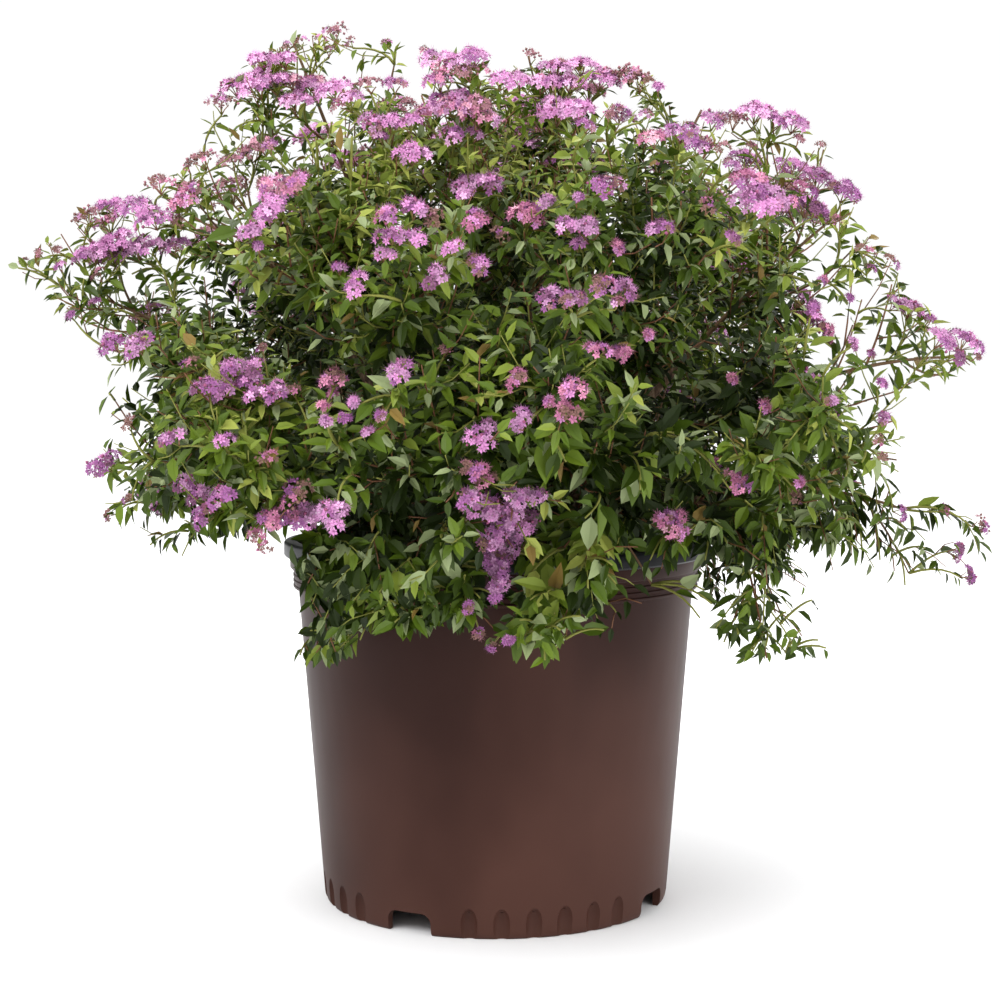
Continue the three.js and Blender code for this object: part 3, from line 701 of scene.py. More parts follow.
PETAL_FINISHES = (
    Plain("petal_bright", 0xC686B8, 0.6, 0.15),
    Plain("petal_glow", 0xE2AED6, 0.6, 0.15),
    Plain("petal_lilac", 0xB282A8, 0.6, 0.15),
    Plain("petal_violet", 0x985E92, 0.6, 0.15),
    Plain("petal_pink", 0xCB86A4, 0.6, 0.15),
    Plain("petal_blush", 0xDFAABC, 0.6, 0.15),
    Plain("petal_dusty", 0x9A6E76, 0.7, 0.12),
    Plain("petal_faded", 0x7C5C56, 0.75, 0.12),
    Plain("bud_rose", 0x8C4C6C, 0.6, 0.15),
    # A darker pink and a darker violet, used only as painted shade for the lower heads.
    Plain("petal_rose", 0xAC6A8A, 0.6, 0.15),
    Plain("petal_dusk", 0x7E5170, 0.65, 0.12),
)
BRIGHT, GLOW, LILAC, VIOLET, PINK, BLUSH, DUSTY, FADED, BUD, PINK_PAINTED_SHADE, VIOLET_PAINTED_SHADE = range(
    len(PETAL_FINISHES)
)
# The next darker petal, as painted shade for the heads that stand lower in the crown.
PAINTED_SHADE_STEP = {GLOW: BRIGHT, BRIGHT: LILAC, LILAC: VIOLET, VIOLET: VIOLET_PAINTED_SHADE, BLUSH: PINK, PINK: PINK_PAINTED_SHADE,
          PINK_PAINTED_SHADE: VIOLET_PAINTED_SHADE, DUSTY: FADED}
# The next lighter petal, as painted light for the heads high in the crown on the left.
PAINTED_LIGHT_STEP = {BRIGHT: GLOW, LILAC: BRIGHT, VIOLET: LILAC, PINK: BLUSH}
# The petals of a corymb by its tone, the commonest first.
PETAL_MIX = {
    Tone.BRIGHT: (BRIGHT, BRIGHT, GLOW, BRIGHT, LILAC, GLOW, VIOLET),
    Tone.LILAC: (LILAC, LILAC, BRIGHT, VIOLET, LILAC, DUSTY, GLOW),
    Tone.PINK: (PINK, PINK, BLUSH, PINK, GLOW, DUSTY, LILAC),
    Tone.DUSTY: (DUSTY, DUSTY, FADED, DUSTY, LILAC, FADED, PINK),
}


# ------------------------------------------------------------------ joined meshes


_MATERIALS: dict[str, bpy.types.Material] = {}


def added(name: str, data: bpy.types.ID) -> bpy.types.Object:
    """A new object of a mesh, curve, light or camera, in the scene."""
    made = bpy.data.objects.new(name, data)
    bpy.context.scene.collection.objects.link(made)
    return made


def material_of(finish: Plain | Moulded | Earthy) -> bpy.types.Material:
    """The finish's material, made once."""
    if finish.name not in _MATERIALS:
        _MATERIALS[finish.name] = finish.material()
    return _MATERIALS[finish.name]


@dataclass(frozen=True)
class Shape:
    """A small mesh that is copied many times: its corners and its triangles."""

    corners: Array
    faces: Array


class Gathered:
    """Triangles gathered in arrays for one joined piece, each with its finish."""

    def __init__(self) -> None:
        self.corners: list[Array] = []
        self.faces: list[Array] = []
        self.tones: list[Array] = []
        self.count = 0

    def add(self, corners: Array, faces: Array, tone: int) -> None:
        """Adds one mesh in one finish."""
        self.corners.append(corners)
        self.faces.append(faces + self.count)
        self.tones.append(np.full(len(faces), tone))
        self.count += len(corners)

    def add_copies(self, shape: Shape, feet: Array, frames: Array, tones: Array) -> None:
        """Adds copies of a shape.

        Args:
            shape: The shape that is copied.
            feet: Where each copy's own origin goes, one a row.
            frames: For each copy its three axes, scaled to its size, one a row.
            tones: Each copy's finish.
        """
        corners = feet[:, None] + np.einsum("nc,kcd->knd", shape.corners, frames)
        starts = self.count + np.arange(len(feet)) * len(shape.corners)
        self.corners.append(corners.reshape(-1, 3))
        self.faces.append((shape.faces[None] + starts[:, None, None]).reshape(-1, 3))
        self.tones.append(np.repeat(tones, len(shape.faces)))
        self.count += len(feet) * len(shape.corners)

    def add_tube(self, points: Array, radii: Array, sides: int, tone: int) -> None:
        """Adds a closed tube along a path."""
        steps = np.gradient(points, axis=0)
        rings = []
        for point, step, radius in zip(points, steps, radii):
            right, ahead = square_pair(unit(step))
            turns = np.arange(sides) * 2 * math.pi / sides
            ring = np.outer(np.cos(turns), right) + np.outer(np.sin(turns), ahead)
            rings.append(point + ring * radius)
        self.add(np.concatenate(rings), tube_faces(sides, len(points) - 1), tone)

    def piece(self, name: str, finishes: Sequence[Plain]) -> bpy.types.Object:
        """Makes the joined piece, in metres, with its finishes."""
        corners = np.concatenate(self.corners).astype(np.float32) * MM
        faces = np.concatenate(self.faces).astype(np.int32)
        mesh = bpy.data.meshes.new(name)
        mesh.vertices.add(len(corners))
        mesh.vertices.foreach_set("co", corners.ravel())
        mesh.loops.add(faces.size)
        mesh.loops.foreach_set("vertex_index", faces.ravel())
        mesh.polygons.add(len(faces))
        mesh.polygons.foreach_set("loop_start", np.arange(0, faces.size, 3, dtype=np.int32))
        for finish in finishes:
            mesh.materials.append(material_of(finish))
        mesh.polygons.foreach_set(
            "material_index", np.concatenate(self.tones).astype(np.int32)
        )
        mesh.update(calc_edges=True)
        mesh.shade_smooth()
        return added(name, mesh)


def tube_faces(sides: int, rows: int) -> Array:
    """The triangles of a closed tube: its rows of sides, and a fan at each end."""
    faces = []
    for row in range(rows):
        for side in range(sides):
            following = (side + 1) % sides
            a, b = side + row * sides, following + row * sides
            faces += [(a, b, b + sides), (a, b + sides, a + sides)]
    last = rows * sides
    for side in range(1, sides - 1):
        faces += [(0, side + 1, side), (last, last + side, last + side + 1)]
    return np.array(faces)


# ------------------------------------------------------------------ the crown's spaces


@dataclass(frozen=True)
class Space:
    """A mass with its leading curve, and the ellipsoid that it keeps to."""

    mass: Mass
    index: int
    leader: Arc
    centre: Array
    axis: Array
    half_length: float

    def shares(self, points: Array, margin: float, girth: float) -> Array:
        """How far out points stand in the ellipsoid, squared: 1 is on its surface."""
        offset = points - self.centre
        along = offset @ self.axis
        across = np.linalg.norm(offset - along[:, None] * self.axis, axis=1)
        return (along / (self.half_length - margin)) ** 2 + (across / girth) ** 2


def space_of(mass: Mass, index: int) -> Space:
    """Lays a mass's curve from the stool to its tip, and its space round the outer part."""
    low, high = FOOT_RISES
    share = within((mass.rise - low) / (high - low))
    foot = heading(mass.bearing, 0) * lerp(*FOOT_RADII, share)
    foot[2] = MIX_TOP + MIX_CREST + STOOL_HEIGHT / 3
    tip = heading(mass.bearing, mass.rise) * mass.reach + CROWN_CENTRE
    leader = Arc(foot, (foot + tip) / 2 + UP * mass.arch, tip)
    root = leader.points(BOUGH_ENDS, 1, 1)[0]
    axis = tip - root
    length = float(np.linalg.norm(axis))
    return Space(mass, index, leader, (root + tip) / 2, axis / length, length / 2 + SPACE_ENDS)


class Crown:
    """All the masses' spaces and boughs, and the tests that keep growth to them."""

    def __init__(self) -> None:
        self.spaces = [space_of(mass, index) for index, mass in enumerate(MASSES)]
        self.centres = np.array([space.centre for space in self.spaces])
        starts, ends, radii = [], [], []
        for space in self.spaces:
            points = space.leader.points(0, BOUGH_ENDS, BOUGH_ROWS)
            starts += list(points[:-1])
            ends += list(points[1:])
            radii += [lerp(BOUGH_BASE, BOUGH_TIP, row / BOUGH_ROWS) for row in range(BOUGH_ROWS)]
        self.bough_starts, self.bough_ends = np.array(starts), np.array(ends)
        self.bough_radii = np.array(radii)

    def holds(self, space: Space, points: Array, margin: float) -> bool:
        """Whether every point lies in a mass's own space, at least margin inside it."""
        if (space.shares(points, margin, SPACE_GIRTH - margin) > 1).any():
            return False
        others = np.arange(len(self.spaces)) != space.index
        centres = self.centres[others]
        apart = np.linalg.norm(centres - space.centre, axis=1)
        far = ((points[:, None] - centres[None]) ** 2).sum(2)
        near = ((points - space.centre) ** 2).sum(1)[:, None]
        return bool(((far - near) / (2 * apart) > margin).all())

    def clears_pot(self, points: Array, margin: float) -> bool:
        """Whether a body with these corners lies wholly above the pot, or outside it."""
        if (points[:, 2] > POT.height + margin).all():
            return True
        outward = points.sum(0) * (1, 1, 0)
        return bool((points @ unit(outward) > POT.lip_radius + margin).all())

    def clears_boughs(self, points: Array, half_width: float) -> bool:
        """Whether a thin path stays clear of every bough."""
        room = self.bough_radii + half_width + SPACE_MARGIN
        return all(
            (segment_gaps(start, end, self.bough_starts, self.bough_ends) > room).all()
            for start, end in zip(points[:-1], points[1:])
        )

    def depth_share(self, point: Array) -> float:
        """How far out a point is in the nearest mass's slimmed space: 1 is on its surface."""
        girth = SPACE_GIRTH * INNER_GIRTH
        shares = [space.shares(point[None], 0, girth)[0] for space in self.spaces]
        return math.sqrt(min(shares))


# ------------------------------------------------------------------ growth


@dataclass
class Limb:
    """A stem, twig or shoot: its path, its thickness, and what grows on it."""

    space: Space
    points: Array
    radii: tuple[float, float]
    rule: LimbRule
    rank: int
    sides: int
    finish: int
    blooms: bool = False
    tone: Tone = Tone.LEAF
    head_width: float = 0.0
    green: int = MID


@dataclass(frozen=True)
class Camera:
    """Where the best side is seen from, and through what lens."""

    eye: tuple[float, float, float] = (3.0, -1250.0, 345.0)
    aim: tuple[float, float, float] = (3.0, 0.0, 266.8)
    lens: float = 66.84
    sensor: float = 36.0
    side: float = 1000.0


CAMERA = Camera()


def share_in(across: Array, down: Array, ellipse: Sequence[float]) -> Array:
    """How far places of the view are inside an ellipse, from 0 at its edge to 1 well inside."""
    middle, level, half_width, half_height = ellipse
    inside = 1 - ((across - middle) / half_width) ** 2 - ((down - level) / half_height) ** 2
    return (inside * FADE).clip(0, 1)


class View:
    """The front view: where points show in it, and how open the crown is there."""

    def __init__(self, camera: Camera = CAMERA) -> None:
        self.eye = np.array(camera.eye)
        ahead = unit(np.array(camera.aim) - self.eye)
        right = unit(np.cross(ahead, UP))
        self.axes = np.stack([right, np.cross(ahead, right), ahead])
        self.reach = camera.lens / camera.sensor * camera.side
        self.middle = camera.side / 2
        self.starts = np.array(OUTLINE, float)
        self.ends = np.roll(self.starts, -1, axis=0)

    def ray(self, across: float, down: float) -> Array:
        """The unit way from the eye through a place in the view."""
        aside = np.array([across - self.middle, down - self.middle, self.reach])
        return unit(aside @ self.axes)

    def places(self, points: Array) -> Array:
        """Where points show, across and down, one a row."""
        seen = (points - self.eye) @ self.axes.T
        return seen[:, :2] / seen[:, 2:] * self.reach + self.middle

    def depths(self, points: Array) -> Array:
        """How far inside the crown's outline points show; below 0 they are outside."""
        places = self.places(points)
        step = self.ends - self.starts
        offset = places[:, None] - self.starts
        share = ((offset * step).sum(2) / (step**2).sum(1)).clip(0, 1)
        gap = np.linalg.norm(offset - share[..., None] * step, axis=2).min(1)
        spans = (self.starts[:, 1] > places[:, 1:]) != (self.ends[:, 1] > places[:, 1:])
        fall = np.where(step[:, 1] == 0, TINY, step[:, 1])
        left_of = places[:, :1] < self.starts[:, 0] + offset[..., 1] * step[:, 0] / fall
        inside = (spans & left_of).sum(1) % 2 == 1
        return np.where(inside, gap, -gap)

    def openness(self, points: Array) -> Array:
        """The share of the growth that is left out where points show."""
        across, down = self.places(points).T
        open_share = EDGE_OPEN * (1 - self.depths(points) / EDGE_DEPTH).clip(0, 1)
        for *ellipse, share in OPENINGS:
            open_share = np.maximum(open_share, share * share_in(across, down, ellipse))
        return open_share

    def painted_light_patch(self, tip: Array) -> float:
        """How much painted light lightens, or painted shade below 0 darkens, the greens where a tip
        shows.
        """
        if tip[1] >= 0:
            return 0.0
        across, down = self.places(tip[None])[0]
        return float(sum(shift * share_in(across, down, painted_light_patch) for *painted_light_patch, shift in PAINTED_LIGHT_PATCHES))


VIEW = View()
BOX_LOW, BOX_HIGH = (np.array(corner) / MM for corner in CAD_BOX)


def hangs_free(tip: Array) -> bool:
    """Whether a limb's tip hangs beside the pot on the right, where the growth is fine."""
    return bool(tip[2] < POT.height - HANG_DROP and tip[0] > POT.lip_radius)


@dataclass(frozen=True)
class GreenRule:
    """What a shoot's green depends on, and the levels below which each green is taken.

    The level grows with how far the tip is from the crown's middle, in shares of its reach, with
    its depth in its mass, by chance, towards the crown's top, and where the crown is open. So the
    greens paint shade inside the crown and light at its surface, its top and its open places;
    the chance part is the leaves' own variation.
    """

    crown_reach: float = 330.0
    outward: float = 0.87
    depth: float = 0.15
    chance: float = 0.28
    top: float = 0.14
    top_starts: float = 400.0
    top_rise: float = 120.0
    open: float = 0.16
    limits: tuple[tuple[float, int], ...] = (
        (0.62, SHADE), (0.8, DEEP), (0.97, MID), (1.12, LIT_FRESH), (1.2, LIT_SPRING),
    )


@dataclass(frozen=True)
class InnerRule:
    """The short shady shoots inside the crown, on all boughs but those that are too steep.

    Lengths are in mm, rises and spreads in degrees, and the rest in shares of what they bend.
    """

    steepest: float = 75.0
    count: int = 9
    start: float = 0.16
    rows: int = 8
    shoot_rows: int = 4
    last: float = 0.98
    sway: float = 0.5
    spreads: tuple[float, float] = (45, 80)
    lengths: tuple[float, float] = (28, 62)
    elbow: float = 0.5
    lift: float = 0.2
    inset: float = 6.0
    pot_margin: float = 2.0


@dataclass(frozen=True)
class PlacedRule:
    """How the shoots placed on the best side spring, bend and share out their heads.

    Carriers are tried at a few places along each limb, and those that aren't further in than the
    tip count as further off. Heights are above the pot, in mm. Head widths are in the front
    view's measure, and a cluster wider than the first limit is shared out over two or three.
    """

    first_share: float = 0.15
    places: tuple[int, int] = (6, 3)
    inward: float = 10.0
    outer_cost: float = 60.0
    bend: float = 0.3
    hang_height: float = 20.0
    hang_lift: float = 0.25
    hang_out: float = 0.1
    low_height: float = 15.0
    fresh_height: float = 25.0
    woody_reach: float = 60.0
    radii: tuple[float, float] = (0.95, 0.55)
    sides: int = 4
    rows: int = 5
    spread: float = 1.25
    drop: float = 0.25
    one_head: float = 34.0
    two_heads: float = 46.0
    apart: float = 0.27
    flat: float = 0.4
    sway: float = 0.3
    part_width: float = 0.7
    part_drop: float = 0.7
    near: float = 26.0
    depths: tuple[float, float, float] = (-344.0, 256.0, 5.0)
    box_margin: float = 4.0
    pot_margins: tuple[float, float] = (4.0, 9.0)
    deepest: float = 120.0


class Carrier(NamedTuple):
    """A place on a limb that a placed shoot can spring from."""

    limb: Limb
    place: Array
    along: Array


@dataclass
class Growth:
    """Grows the crown: stems and twigs as in the source, then finer shoots on them.

    Spacings, radii, margins and reaches are in mm, the sway of a spread is in degrees and that
    of a turn in faces, and the rest are shares.
    """

    crown: Crown
    greens: GreenRule = GreenRule()
    inner: InnerRule = InnerRule()
    placed: PlacedRule = PlacedRule()
    faces: int = 5
    shoot_spacing: float = 7.5
    sprig_spacing: float = 14.0
    sprig_bearer: float = 30.0
    placed_spacing: float = 9.0
    placed_sparse: float = 0.7
    stem_radii: tuple[float, float] = (1.9, 0.8)
    stem_sides: int = 6
    twig_radii: tuple[float, float] = (1.0, 0.55)
    twig_sides: int = 5
    twig_rows: int = 8
    sides: int = 3
    lengths: tuple[float, float] = (0.6, 1.1)
    first_place: float = 0.6
    stagger: float = 0.3
    last_place: float = 0.97
    sway: float = 0.4
    spread_sway: float = 9.0
    outward_reach: float = 900.0
    side_margin: float = 4.0
    side_inset: float = 8.0
    green_share: float = 0.55
    bloom_share: float = 0.45

    def grow(self) -> list[Limb]:
        """Grows every limb of the crown, and returns them."""
        frame_limbs: list[Limb] = []
        for space in self.crown.spaces:
            frame_limbs += self.frame_of(space)
        shoots: list[Limb] = []
        for number, limb in enumerate(frame_limbs):
            random = Stream.SHOOTS.start(number)
            shoots += self.side_limbs(limb, SHOOT, self.shoot_spacing, random)
        limbs = frame_limbs + shoots
        for number, limb in enumerate(shoots):
            if path_length(limb.points) > self.sprig_bearer:
                random = Stream.SPRIGS.start(number)
                limbs += self.side_limbs(limb, SPRIG, self.sprig_spacing, random)
        placed = self.placed_shoots(frame_limbs + shoots)
        limbs += placed
        for number, limb in enumerate(placed):
            random = Stream.PLACED_SPRIGS.start(number)
            if not hangs_free(limb.points[-1]) and limb.tone is not Tone.BROAD:
                limbs += self.side_limbs(
                    limb, SPRIG, self.placed_spacing, random, self.placed_sparse
                )
        for space in self.crown.spaces:
            limbs += self.inner_shoots(space)
        return limbs

    def inner_shoots(self, space: Space) -> list[Limb]:
        """Short shady shoots along the outer part of a bough, unless it is too steep."""
        made: list[Limb] = []
        rule = self.inner
        if space.mass.rise > rule.steepest:
            return made
        random = Stream.INNER.start(space.index)
        bough = space.leader.points(rule.start, BOUGH_ENDS, rule.rows)
        for number in range(rule.count):
            share = (number + random()) / rule.count
            point, along = on_path(bough, min(share, rule.last))
            side = face_of(along, self.faces, 2 * number + random.sway(rule.sway))
            out = unit(leaning(along, side, math.radians(random.between(*rule.spreads))))
            start = point + side * (BOUGH_BASE + SHOOT.radius + SPACE_MARGIN)
            length = random.between(*rule.lengths)
            tip = start + out * length + UP * length * rule.lift
            arc = Arc(start, start + out * length * rule.elbow, tip)
            free = arc.points(0, 1, rule.shoot_rows)
            if (
                self.crown.clears_pot(free, rule.pot_margin)
                and self.crown.clears_boughs(free, SHOOT.radius)
                and VIEW.depths(free).min() > rule.inset
            ):
                radii = SHOOT.radius, SHOOT.tip_radius
                # The inner shoots take the deep green as painted shade.
                points = np.vstack([point, free])
                made.append(
                    Limb(space, points, radii, SHOOT, 2, self.sides, TWIG_BROWN, green=DEEP)
                )
        return made

    def frame_of(self, space: Space) -> list[Limb]:
        """A mass's stem and side twigs, exactly as in the part's source."""
        random = Stream.STEMS.start(space.index)
        length = space.leader.length()
        blooms = random() < space.mass.bloom
        end_length = HEAD_RADIUS * END_ROOM if blooms else LEAF_LENGTH
        start, end = BOUGH_ENDS + GAP / length, 1 - end_length / length
        path = space.leader.points(start, end, STEM_ROWS)
        fine = space.leader.points(start, end, STEM_ROWS * 3)
        limbs = [
            Limb(space, fine, self.stem_radii, TWIG, 0, self.stem_sides, TWIG_BROWN, blooms)
        ]
        first_rank = int(random() * STEM_SIDES)
        for number in range(STEM_TWIGS):
            share = (number + 0.5) / STEM_TWIGS
            point, along = on_path(path, share * LAST_TWIG)
            side = face_of(along, STEM_SIDES, first_rank + number * (STEM_SIDES - 1))
            spread = math.radians(lerp(*TWIG.spreads, share))
            blooms = random() < space.mass.bloom
            margin = HEAD_RADIUS * HEAD_ROOM if blooms else LEAF_WIDTH * WIDTH_ROOM
            arc = self.fitting_arc(space, point, leaning(along, side, spread), TWIG, margin)
            if arc is not None:
                points = self.trimmed(arc.points(0, 1, self.twig_rows))
                finish = TWIG_RED if number % 2 else TWIG_BROWN
                limbs.append(
                    Limb(space, points, self.twig_radii, TWIG, 1, self.twig_sides, finish, blooms)
                )
        return limbs

    def trimmed(self, points: Array) -> Array:
        """A twig cut back to where it leaves the front view's outline."""
        outside = VIEW.depths(points) < 2
        last = int(np.argmax(outside)) if outside.any() else len(points)
        return points[:max(last, 3)]

    def fitting_arc(self, space: Space, start: Array, out: Array, rule: LimbRule,
                    end_margin: float, inset: float | None = None) -> Arc | None:
        """The longest side curve from a point that keeps to its space.

        Args:
            space: The mass's space.
            start: Where the curve springs.
            out: The way that it sets out.
            rule: Its sizes.
            end_margin: How far inside the space its end stays.
            inset: How far inside the front view's outline it stays, if it must.

        Returns:
            The curve, or None where even the shortest doesn't fit.
        """
        lift = -rule.lift if space.mass.rise < HANGING_RISE else rule.lift
        margin = rule.radius + SPACE_MARGIN
        length = rule.longest
        while length > rule.shortest:
            end = start + out * length * rule.reach + UP * length * lift
            arc = Arc(start, start + out * length * rule.elbow, end)
            free = arc.points(0, 1, 2)[1:]
            if (
                self.crown.holds(space, end[None], end_margin)
                and self.crown.holds(space, free, margin)
                and self.crown.clears_pot(free, margin)
                and self.crown.clears_boughs(np.vstack([start, free]), rule.radius)
                and (inset is None or VIEW.depths(free).min() > inset)
            ):
                return arc
            length *= rule.shrink
        return None

    def side_limbs(self, parent: Limb, rule: LimbRule, spacing: float, random: Seeded,
                   sparse: float = 1.0) -> list[Limb]:
        """Finer limbs along a limb, by the same rule carried on.

        Args:
            parent: The limb that they spring from.
            rule: Their sizes.
            spacing: How far apart they spring.
            random: The stream that varies them.
            sparse: How strictly they are left out where the crown is open.

        Returns:
            The limbs that fit.
        """
        made = []
        count = max(round(path_length(parent.points) / spacing), 1)
        first_rank = int(random() * self.faces)
        for number in range(count):
            share = (number + self.first_place + self.stagger * random()) / count
            point, along = on_path(parent.points, min(share, self.last_place))
            side = face_of(along, self.faces, first_rank + 2 * number + random.sway(self.sway))
            spread = math.radians(lerp(*rule.spreads, share) + random.sway(self.spread_sway))
            out = leaning(along, side, spread)
            out = unit(out + (point - CROWN_CENTRE) / self.outward_reach)
            sized = replace(rule, longest=rule.longest * random.between(*self.lengths))
            arc = self.fitting_arc(
                parent.space, point, out, sized, self.side_margin, self.side_inset
            )
            if arc is None:
                continue
            points = arc.points(0, 1, rule.rows)
            if random() < VIEW.openness(points[-1:])[0] * sparse:
                continue
            finish = TWIG_GREEN if random() < self.green_share else TWIG_RED
            blooms = random() < parent.space.mass.bloom * self.bloom_share
            made.append(
                Limb(parent.space, points, (rule.radius, rule.tip_radius), rule,
                     parent.rank + 1, self.sides, finish, blooms,
                     green=self.green_of(points[-1], random))
            )
        return made

    def green_of(self, tip: Array, random: Seeded) -> int:
        """The main green of a shoot: dark inside the crown as painted shade, brighter at its surface
        as painted light.
        """
        rule = self.greens
        outward = float(np.linalg.norm(tip - CROWN_CENTRE)) / rule.crown_reach
        level = outward * rule.outward + self.crown.depth_share(tip) * rule.depth
        level += random.sway(rule.chance)
        level += rule.top * within((tip[2] - rule.top_starts) / rule.top_rise)
        # Painted light where the crown is open, and painted light or shade from the patches of the
        # front view.
        level += rule.open * float(VIEW.openness(tip[None])[0]) + VIEW.painted_light_patch(tip)
        return next((green for limit, green in rule.limits if level < limit), LIT_YOUNG)

    def placed_shoots(self, limbs: list[Limb]) -> list[Limb]:
        """The shoots of the best side, each grown from a limb near its place."""
        coarse, fine = self.placed.places
        carriers = [
            Carrier(limb, *on_path(limb.points, share))
            for limb in limbs
            for share in np.linspace(self.placed.first_share, 1, coarse if limb.rank < 2 else fine)
        ]
        stock = np.array([carrier.place for carrier in carriers])
        random = Stream.PLACED.start()
        made = []
        for across, down, *end in FRONT_SHOOTS:
            width, tone = end or (0, Tone.LEAF)
            for tip, size in self.tips_of(across, down, width, tone, stock, random):
                carrier = carriers[self.nearest(stock, tip)]
                made.append(self.placed_shoot(carrier, tip, size, tone, random))
        return made

    def nearest(self, stock: Array, tip: Array) -> int:
        """Which place is nearest to a tip, those further in before the rest."""
        inner = (stock - tip) @ unit(tip - CROWN_CENTRE) < -self.placed.inward
        costs = np.where(inner, 0, self.placed.outer_cost)
        return int((np.linalg.norm(stock - tip, axis=1) + costs).argmin())

    def placed_shoot(self, carrier: Carrier, tip: Array, size: float, tone: Tone,
                     random: Seeded) -> Limb:
        """One shoot from its carrier to its tip; those over the pot's lip hang from above."""
        rule = self.placed
        start = carrier.place
        reach = float(np.linalg.norm(tip - start))
        bend = start + carrier.along * reach * rule.bend + (tip - start) * rule.bend
        if tip[2] < POT.height + rule.hang_height:
            outward = unit(tip - CROWN_CENTRE)
            bend = (start + tip) / 2 + UP * reach * rule.hang_lift + outward * reach * rule.hang_out
        low = tip[2] < POT.height + rule.low_height
        lightest, darkest = (LIT_FRESH, DEEP) if low else (LIT_SPRING, MID)
        # Tips that hang free, and those in a patch of painted shade, take the darker greens.
        if hangs_free(tip) or VIEW.painted_light_patch(tip) < PAINTED_SHADE_LIMIT:
            lightest, darkest = MID, SHADE
        green = min(max(self.green_of(tip, random), lightest), darkest)
        if tone is Tone.BROAD:
            green = LIT_SPRING if tip[2] < POT.height + rule.fresh_height else MID
        finish = TWIG_GREEN if reach < rule.woody_reach else TWIG_RED
        points = Arc(start, bend, tip).points(0, 1, rule.rows)
        return Limb(carrier.limb.space, points, rule.radii, SHOOT, 2, rule.sides, finish,
                    tone in PETAL_MIX, tone, size, green)

    def tips_of(self, across: float, down: float, width: float, tone: Tone, stock: Array,
                random: Seeded) -> list[tuple[Array, float]]:
        """The tips of one placed cluster, and the widths of their heads in mm."""
        rule = self.placed
        tip = self.on_crown(across, down, stock)
        if tone not in PETAL_MIX:
            return [(tip, width)]
        scale = float(np.linalg.norm(tip - VIEW.eye)) / VIEW.reach * rule.spread
        axis = unit(UP * HEAD_UP + unit(tip - CROWN_CENTRE) * HEAD_OUT)
        drop = axis * width * scale * rule.drop
        if width <= rule.one_head:
            return [(tip - drop, width * scale)]
        count = 2 if width <= rule.two_heads else 3
        spread = width * rule.apart
        tips = []
        for number in range(count):
            turn = 2 * math.pi * number / count + random.sway(rule.sway)
            aside, under = spread * math.cos(turn), spread * rule.flat * math.sin(turn)
            place = self.on_crown(across + aside, down + under, stock)
            tips.append((place - drop * rule.part_drop, width * rule.part_width * scale))
        return tips

    def on_crown(self, across: float, down: float, stock: Array) -> Array:
        """Where the front view's place meets the crown: before the first limb that is near."""
        rule = self.placed
        steps = np.arange(*rule.depths) - VIEW.eye[1]
        places = VIEW.eye + VIEW.ray(across, down) * steps[:, None]
        margin = rule.box_margin
        inside = (places > BOX_LOW + margin) & (places < BOX_HIGH - (margin, margin, 0))
        inside = inside.all(1) & beside_pot(places, *rule.pot_margins)
        if not inside.any():
            inside = np.abs(places[:, 1]) < rule.deepest
        places = places[inside]
        gaps = np.linalg.norm(places[:, None] - stock, axis=2).min(1)
        near = gaps < rule.near
        return places[int(np.argmax(near)) if near.any() else int(gaps.argmin())]


# ------------------------------------------------------------------ leaves


# Half a leaf stalk's width, its length, its sag and where the rib starts, as shares of the leaf.
STALK_HALF, STALK_LENGTH, STALK_SAG, RIB_START = 0.03, 0.16, 0.02, 0.13


def leaf_shape(curl: float, fold: float, twist: float, stations: Sequence[tuple[float, float]]
               ) -> Shape:
    """A pointed leaf on a short stalk, one long and one wide, creased along its rib.

    Args:
        curl: How far the tip bends down.
        fold: How far the sides stand above the rib.
        twist: How far the tip turns over, in radians.
        stations: How far along the rib its rim is marked, and half its width there.

    Returns:
        The leaf's shape, with its rib along X and its upper side to +Z.
    """
    corners = [(0.0, STALK_HALF, 0.0), (0.0, -STALK_HALF, 0.0)]
    corners.append((STALK_LENGTH, 0.0, -curl * STALK_SAG))
    faces = [(0, 1, 2)]
    for side in (1, -1):
        first = len(corners)
        corners.append((RIB_START, 0.0, -curl * STALK_SAG))
        for along, half in stations:
            sag, turn = -curl * along**2, twist * along
            rim = side * half * math.cos(turn) - fold * half * math.sin(turn)
            rise = side * half * math.sin(turn) + fold * half * math.cos(turn)
            corners += [(along, 0.0, sag), (along, rim, sag + rise)]
        corners.append((1.0, 0.0, -curl))
        half_leaf = [(0, 1, 2)]
        for rib in range(1, 2 * len(stations) - 1, 2):
            half_leaf += [(rib, rib + 2, rib + 3), (rib, rib + 3, rib + 1)]
        last = 2 * len(stations) - 1
        half_leaf.append((last, last + 2, last + 1))
        for a, b, c in half_leaf:
            turned = (a, b, c) if side > 0 else (a, c, b)
            faces.append(tuple(first + corner for corner in turned))
    return Shape(np.array(corners), np.array(faces))


SLIM_ROLL = 7  # draws a leaf's slimness from the roll that picks its bend
# The curl, fold and twist of the leaves, and the stations of small and of large ones.
LEAF_BENDS = ((0.1, 0.35, 0.0), (0.24, 0.45, 0.3), (0.34, 0.3, -0.35))
SMALL_STATIONS = ((0.34, 0.46), (0.66, 0.4))
LARGE_STATIONS = ((0.3, 0.4), (0.52, 0.5), (0.78, 0.29))
SMALL_LEAVES = [leaf_shape(*bends, SMALL_STATIONS) for bends in LEAF_BENDS]
LARGE_LEAVES = [leaf_shape(*bends, LARGE_STATIONS) for bends in LEAF_BENDS]


class Leaf(NamedTuple):
    """A leaf before it is meshed, with the rolls that pick its shape and whether it is kept."""

    space: int
    root: Array
    lean: Array
    facing: Array
    size: float
    green: int
    kind: float
    luck: float


